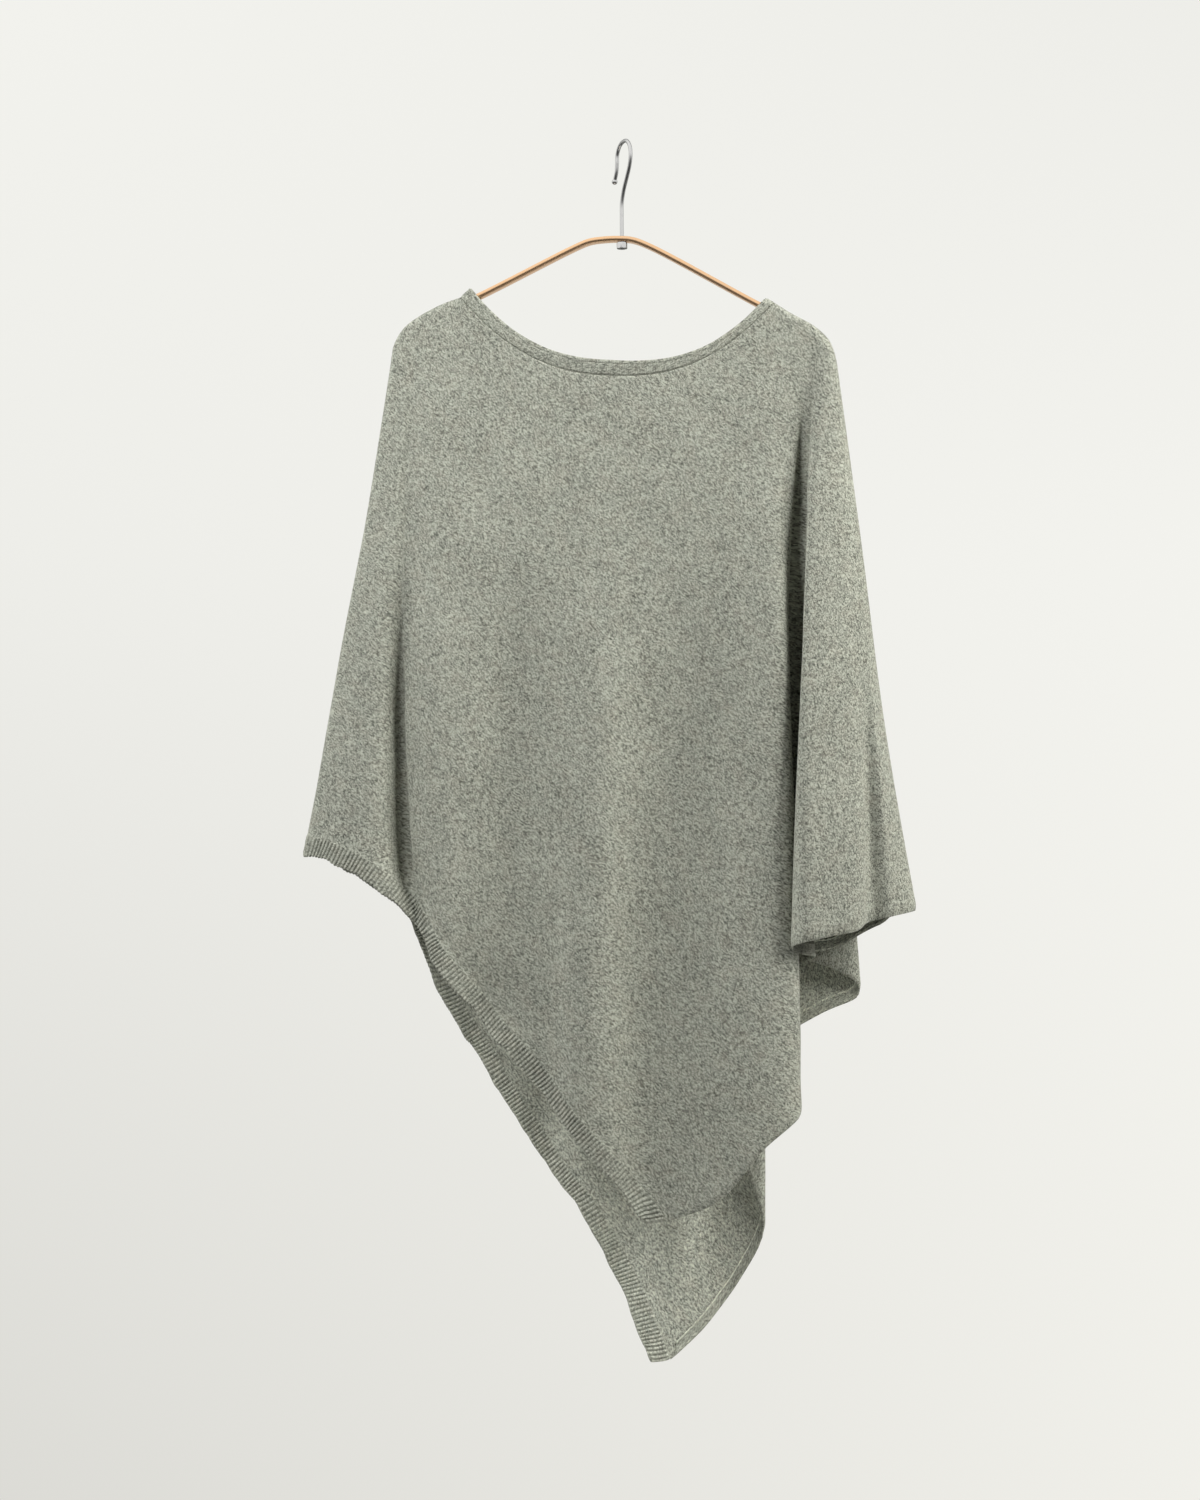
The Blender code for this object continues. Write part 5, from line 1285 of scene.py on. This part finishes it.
# the ribs' inside is made 1.48 times lighter: partly the purl side's own look, mostly painted light for the lit band
# behind the front's hem
mat_rib_in = knit("knit_rib_inside", 0.0, tone=1.48, grain=0.8, stitch=0.6, groove=RIB_PITCH, groove_to=RIB_WIDTH - 0.6, groove_shade_and_tone=0.26, groove_shift=0.5)
mat_edging = knit("knit_edging", 0.0, grain=0.85, stitch=0.6)
# the edging's inside is made 1.36 times lighter as painted light, with painted shade in its fine rows and a painted rim
# highlight
mat_edging_in = knit("knit_edging_back", 0.0, grain=0.85, stitch=0.6, tone=1.36, groove=2.4, groove_shade_and_tone=0.12, rim_highlight=0.75)
mat_band = knit("knit_neckband", 0.0, grain=0.9, stitch=0.9, groove=2.0, groove_shade_and_tone=0.14, tone=1.02)
mat_yarn = knit("linking_yarn", 0.0, grain=0.7, stitch=0.0, tone=0.95)
mat_copper = copper()
mat_chrome = chrome("chrome_wire", (0.50, 0.50, 0.51), (0.68, 0.68, 0.69))
mat_nut = chrome("chrome_nut", (0.55, 0.55, 0.56), (0.72, 0.72, 0.73))

for label, tube, outside, inside in (("front", FRONT, mat_front, mat_front_in), ("back", BACK, mat_back, mat_back_in)):
    rib, (ru, rt, rp, rn) = rib_piece(f"{label}_rib_edge", tube, [mat_rib, mat_rib_in])
    cloth, info = panel_piece(f"{label}_cloth", tube, (ru[:, 0], rt[:, 0]), [outside, inside])
    face = facing_piece(f"{label}_side_edging", tube, info, [mat_edging if label == "front" else mat_edging_in])
    for obj, node, slot in ((rib, f"{label}_rib_hem", "rib"), (cloth, f"{label}_panel", "knit"), (face, f"{label}_side_band", "rib")):
        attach(obj, "root")
        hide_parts(node)

band, stitches = neck_piece("neck_band_cloth", [mat_band], [mat_yarn])
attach(band, "root")
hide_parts("neck_band")
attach(stitches, "root")

for obj, node, slot in ((strip_piece([mat_copper]), "hanger_strip", "copper_strip"),
                        (hook_piece([mat_chrome]), "hanger_hook", "chrome_wire"),
                        (nut_piece([mat_nut]), "hanger_nut", "chrome_wire")):
    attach(obj, "root")
    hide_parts(node)

# ================================================================ camera, light and floor

scene = bpy.context.scene
AZ, DIST, DROP, PITCH, ROLL, YAW, FOCAL = 8.0, 2.48, 0.6785, 2.9, -0.47, 8.592, 2756.0
az, psi, tilt, roll = (math.radians(v) for v in (AZ, YAW, PITCH, ROLL))
cam_data = bpy.data.cameras.new("camera")
cam = bpy.data.objects.new("camera", cam_data)
scene.collection.objects.link(cam)
fwd = Vector((-math.sin(psi) * math.cos(tilt), math.cos(psi) * math.cos(tilt), math.sin(tilt)))
right = Vector((math.cos(psi), math.sin(psi), 0.0))
up = right.cross(fwd)
r_ax = right * math.cos(roll) + up * math.sin(roll)
u_ax = -right * math.sin(roll) + up * math.cos(roll)
from mathutils import Matrix
rot = Matrix((r_ax, u_ax, -fwd)).transposed()
cam.matrix_world = Matrix.Translation((DIST * math.sin(az), -DIST * math.cos(az), -DROP)) @ rot.to_4x4()
cam_data.sensor_fit = "AUTO"
cam_data.sensor_width = 36.0
cam_data.lens = FOCAL / 1500.0 * 36.0
cam_data.clip_start, cam_data.clip_end = 0.05, 60.0
scene.camera = cam

scene.view_settings.view_transform = "Standard"
scene.view_settings.look = "None"
scene.view_settings.exposure = 0.0
scene.view_settings.gamma = 1.0


def area_light(name, azimuth, elevation, distance, size, power, colour, aim=(0.0, 0.0, -0.55)):
    data = bpy.data.lights.new(name, "AREA")
    data.shape = "RECTANGLE"
    data.size, data.size_y = size
    data.energy = power
    data.color = colour
    obj = bpy.data.objects.new(name, data)
    scene.collection.objects.link(obj)
    a, e = math.radians(azimuth), math.radians(elevation)
    back = Vector((math.sin(a) * math.cos(e), -math.cos(a) * math.cos(e), math.sin(e)))
    obj.location = Vector(aim) + back * distance
    obj.rotation_mode = "QUATERNION"
    obj.rotation_quaternion = (-back).to_track_quat("-Z", "Y")
    obj.visible_glossy = False      # the metal shows the pale room and no lamp
    return obj


# azimuth: 0 in front, + to the right
area_light("key_side", 74.0, 22.0, 2.05, (0.9, 1.0), 61.0, (1.0, 0.995, 0.97), (0.0, 0.0, -0.34))
area_light("soft_front", -44.0, 32.0, 1.8, (1.1, 0.9), 37.0, (0.99, 0.997, 1.0), (0.0, 0.0, -0.26))
area_light("side_left", -80.0, 8.0, 2.3, (0.8, 1.2), 16.0, (1.0, 1.0, 0.99), (-0.15, 0.0, -0.50))
area_light("soft_back", -158.0, 24.0, 2.3, (1.2, 1.2), 46.0, (1.0, 1.0, 0.99), (0.0, 0.0, -0.50))

world = bpy.data.worlds.new("pale_room")
scene.world = world
world.use_nodes = True
wt = world.node_tree
bg = wt.nodes["Background"]
coord = wt.nodes.new("ShaderNodeTexCoord")
sep = wt.nodes.new("ShaderNodeSeparateXYZ")
wt.links.new(coord.outputs["Generated"], sep.inputs[0])
# from behind the object (bright wall) to the viewer's side of the room (dimmer)
ramp_y = wt.nodes.new("ShaderNodeValToRGB")
ramp_y.color_ramp.elements[0].position = 0.25
ramp_y.color_ramp.elements[0].color = (0.22, 0.22, 0.215, 1)
ramp_y.color_ramp.elements[1].position = 0.90
ramp_y.color_ramp.elements[1].color = (0.872, 0.870, 0.832, 1)
half = wt.nodes.new("ShaderNodeMath")
half.operation = "MULTIPLY_ADD"
half.inputs[1].default_value = 0.5
half.inputs[2].default_value = 0.5
wt.links.new(sep.outputs[1], half.inputs[0])
wt.links.new(half.outputs[0], ramp_y.inputs[0])
# a little darker towards the floor
ramp_z = wt.nodes.new("ShaderNodeValToRGB")
ramp_z.color_ramp.elements[0].position = 0.20
ramp_z.color_ramp.elements[0].color = (0.30, 0.30, 0.29, 1)
ramp_z.color_ramp.elements[1].position = 0.56
ramp_z.color_ramp.elements[1].color = (1.0, 1.0, 1.0, 1)
step = ramp_z.color_ramp.elements.new(0.385)
step.color = (0.90, 0.895, 0.885, 1)
half_z = wt.nodes.new("ShaderNodeMath")
half_z.operation = "MULTIPLY_ADD"
half_z.inputs[1].default_value = 0.5
half_z.inputs[2].default_value = 0.5
wt.links.new(sep.outputs[2], half_z.inputs[0])
wt.links.new(half_z.outputs[0], ramp_z.inputs[0])
mul = wt.nodes.new("ShaderNodeMix")
mul.data_type = "RGBA"
mul.blend_type = "MULTIPLY"
mul.inputs[0].default_value = 1.0
wt.links.new(ramp_y.outputs[0], mul.inputs[6])
wt.links.new(ramp_z.outputs[0], mul.inputs[7])


def world_math(op, a, b, clamp=False):
    node = wt.nodes.new("ShaderNodeMath")
    node.operation = op
    node.use_clamp = clamp
    for i, v in enumerate((a, b)):
        if isinstance(v, (int, float)):
            node.inputs[i].default_value = v
        else:
            wt.links.new(v, node.inputs[i])
    return node.outputs[0]


# brighter to the right, most of all low down
tilt_x = world_math("ADD", sep.outputs[0], 0.15)
slope = world_math("SUBTRACT", 0.25, world_math("MULTIPLY", sep.outputs[2], 1.15))
shade = world_math("ADD", 1.0, world_math("MULTIPLY", tilt_x, slope))
shade = world_math("MINIMUM", world_math("MAXIMUM", shade, 0.84), 1.12)
lift = wt.nodes.new("ShaderNodeVectorMath")
lift.operation = "SCALE"
wt.links.new(mul.outputs[2], lift.inputs[0])
wt.links.new(shade, lift.inputs[3])
# the room is seen, also in the metal, at full brightness and lights the cloth as a dimmer fill
ray = wt.nodes.new("ShaderNodeLightPath").outputs
seen = world_math("MAXIMUM", ray["Is Camera Ray"], ray["Is Glossy Ray"])
# as background the room is pale on every side
wt.links.new(world_math("ADD", half.outputs[0], ray["Is Camera Ray"]), ramp_y.inputs[0])
wt.links.new(world_math("MAXIMUM", half_z.outputs[0], world_math("MULTIPLY", ray["Is Camera Ray"], 0.34)), ramp_z.inputs[0])
# a bright ceiling on the viewer's side, which only the metal shows
above = world_math("MULTIPLY", world_math("ADD", sep.outputs[2], 0.25), 1.8, clamp=True)
before = world_math("SUBTRACT", 0.75, world_math("MULTIPLY", sep.outputs[1], 0.8), clamp=True)
ceiling = wt.nodes.new("ShaderNodeVectorMath")
ceiling.operation = "SCALE"
ceiling.inputs[0].default_value = (0.95, 0.945, 0.91)
wt.links.new(world_math("MULTIPLY", world_math("MULTIPLY", above, before), ray["Is Glossy Ray"]), ceiling.inputs[3])
both = wt.nodes.new("ShaderNodeVectorMath")
both.operation = "ADD"
wt.links.new(lift.outputs[0], both.inputs[0])
wt.links.new(ceiling.outputs[0], both.inputs[1])
wt.links.new(both.outputs[0], bg.inputs[0])
wt.links.new(world_math("ADD", world_math("MULTIPLY", seen, 0.70), 0.30), bg.inputs[1])

# pale floor under the hanging piece, fading out at its rim
floor_mesh = bpy.data.meshes.new("floor")
ring_n, rr = 96, (0.0, 0.35, 0.7, 0.95, 1.2)
fv = [(0.0, 0.0, -1.5)]
for r in rr[1:]:
    fv += [(r * math.cos(2 * math.pi * k / ring_n), r * math.sin(2 * math.pi * k / ring_n), -1.5) for k in range(ring_n)]
ff = [(0, 1 + k, 1 + (k + 1) % ring_n) for k in range(ring_n)]
for j in range(len(rr) - 2):
    o = 1 + j * ring_n
    ff += [(o + k, o + ring_n + k, o + ring_n + (k + 1) % ring_n, o + (k + 1) % ring_n) for k in range(ring_n)]
floor_mesh.from_pydata(fv, [], ff)
floor = bpy.data.objects.new("floor", floor_mesh)
scene.collection.objects.link(floor)
fm = Nodes("floor_pale")
fc = fm.new("ShaderNodeTexCoord").outputs["Object"]
fs = fm.new("ShaderNodeSeparateXYZ")
fm.link(fc, fs.inputs[0])
dist = fm.math("SQRT", fm.math("ADD", fm.math("POWER", fs.outputs[0], 2.0), fm.math("POWER", fs.outputs[1], 2.0)))
fade = fm.math("SUBTRACT", 1.0, fm.math("DIVIDE", fm.math("SUBTRACT", dist, 0.6), 0.58), clamp=True)
fm.link(fade, fm.shader.inputs["Alpha"])
fm.shader.inputs["Base Color"].default_value = (0.60, 0.60, 0.585, 1)
fm.shader.inputs["Roughness"].default_value = 0.7
floor_mesh.materials.append(fm.mat)

bpy.context.view_layer.update()
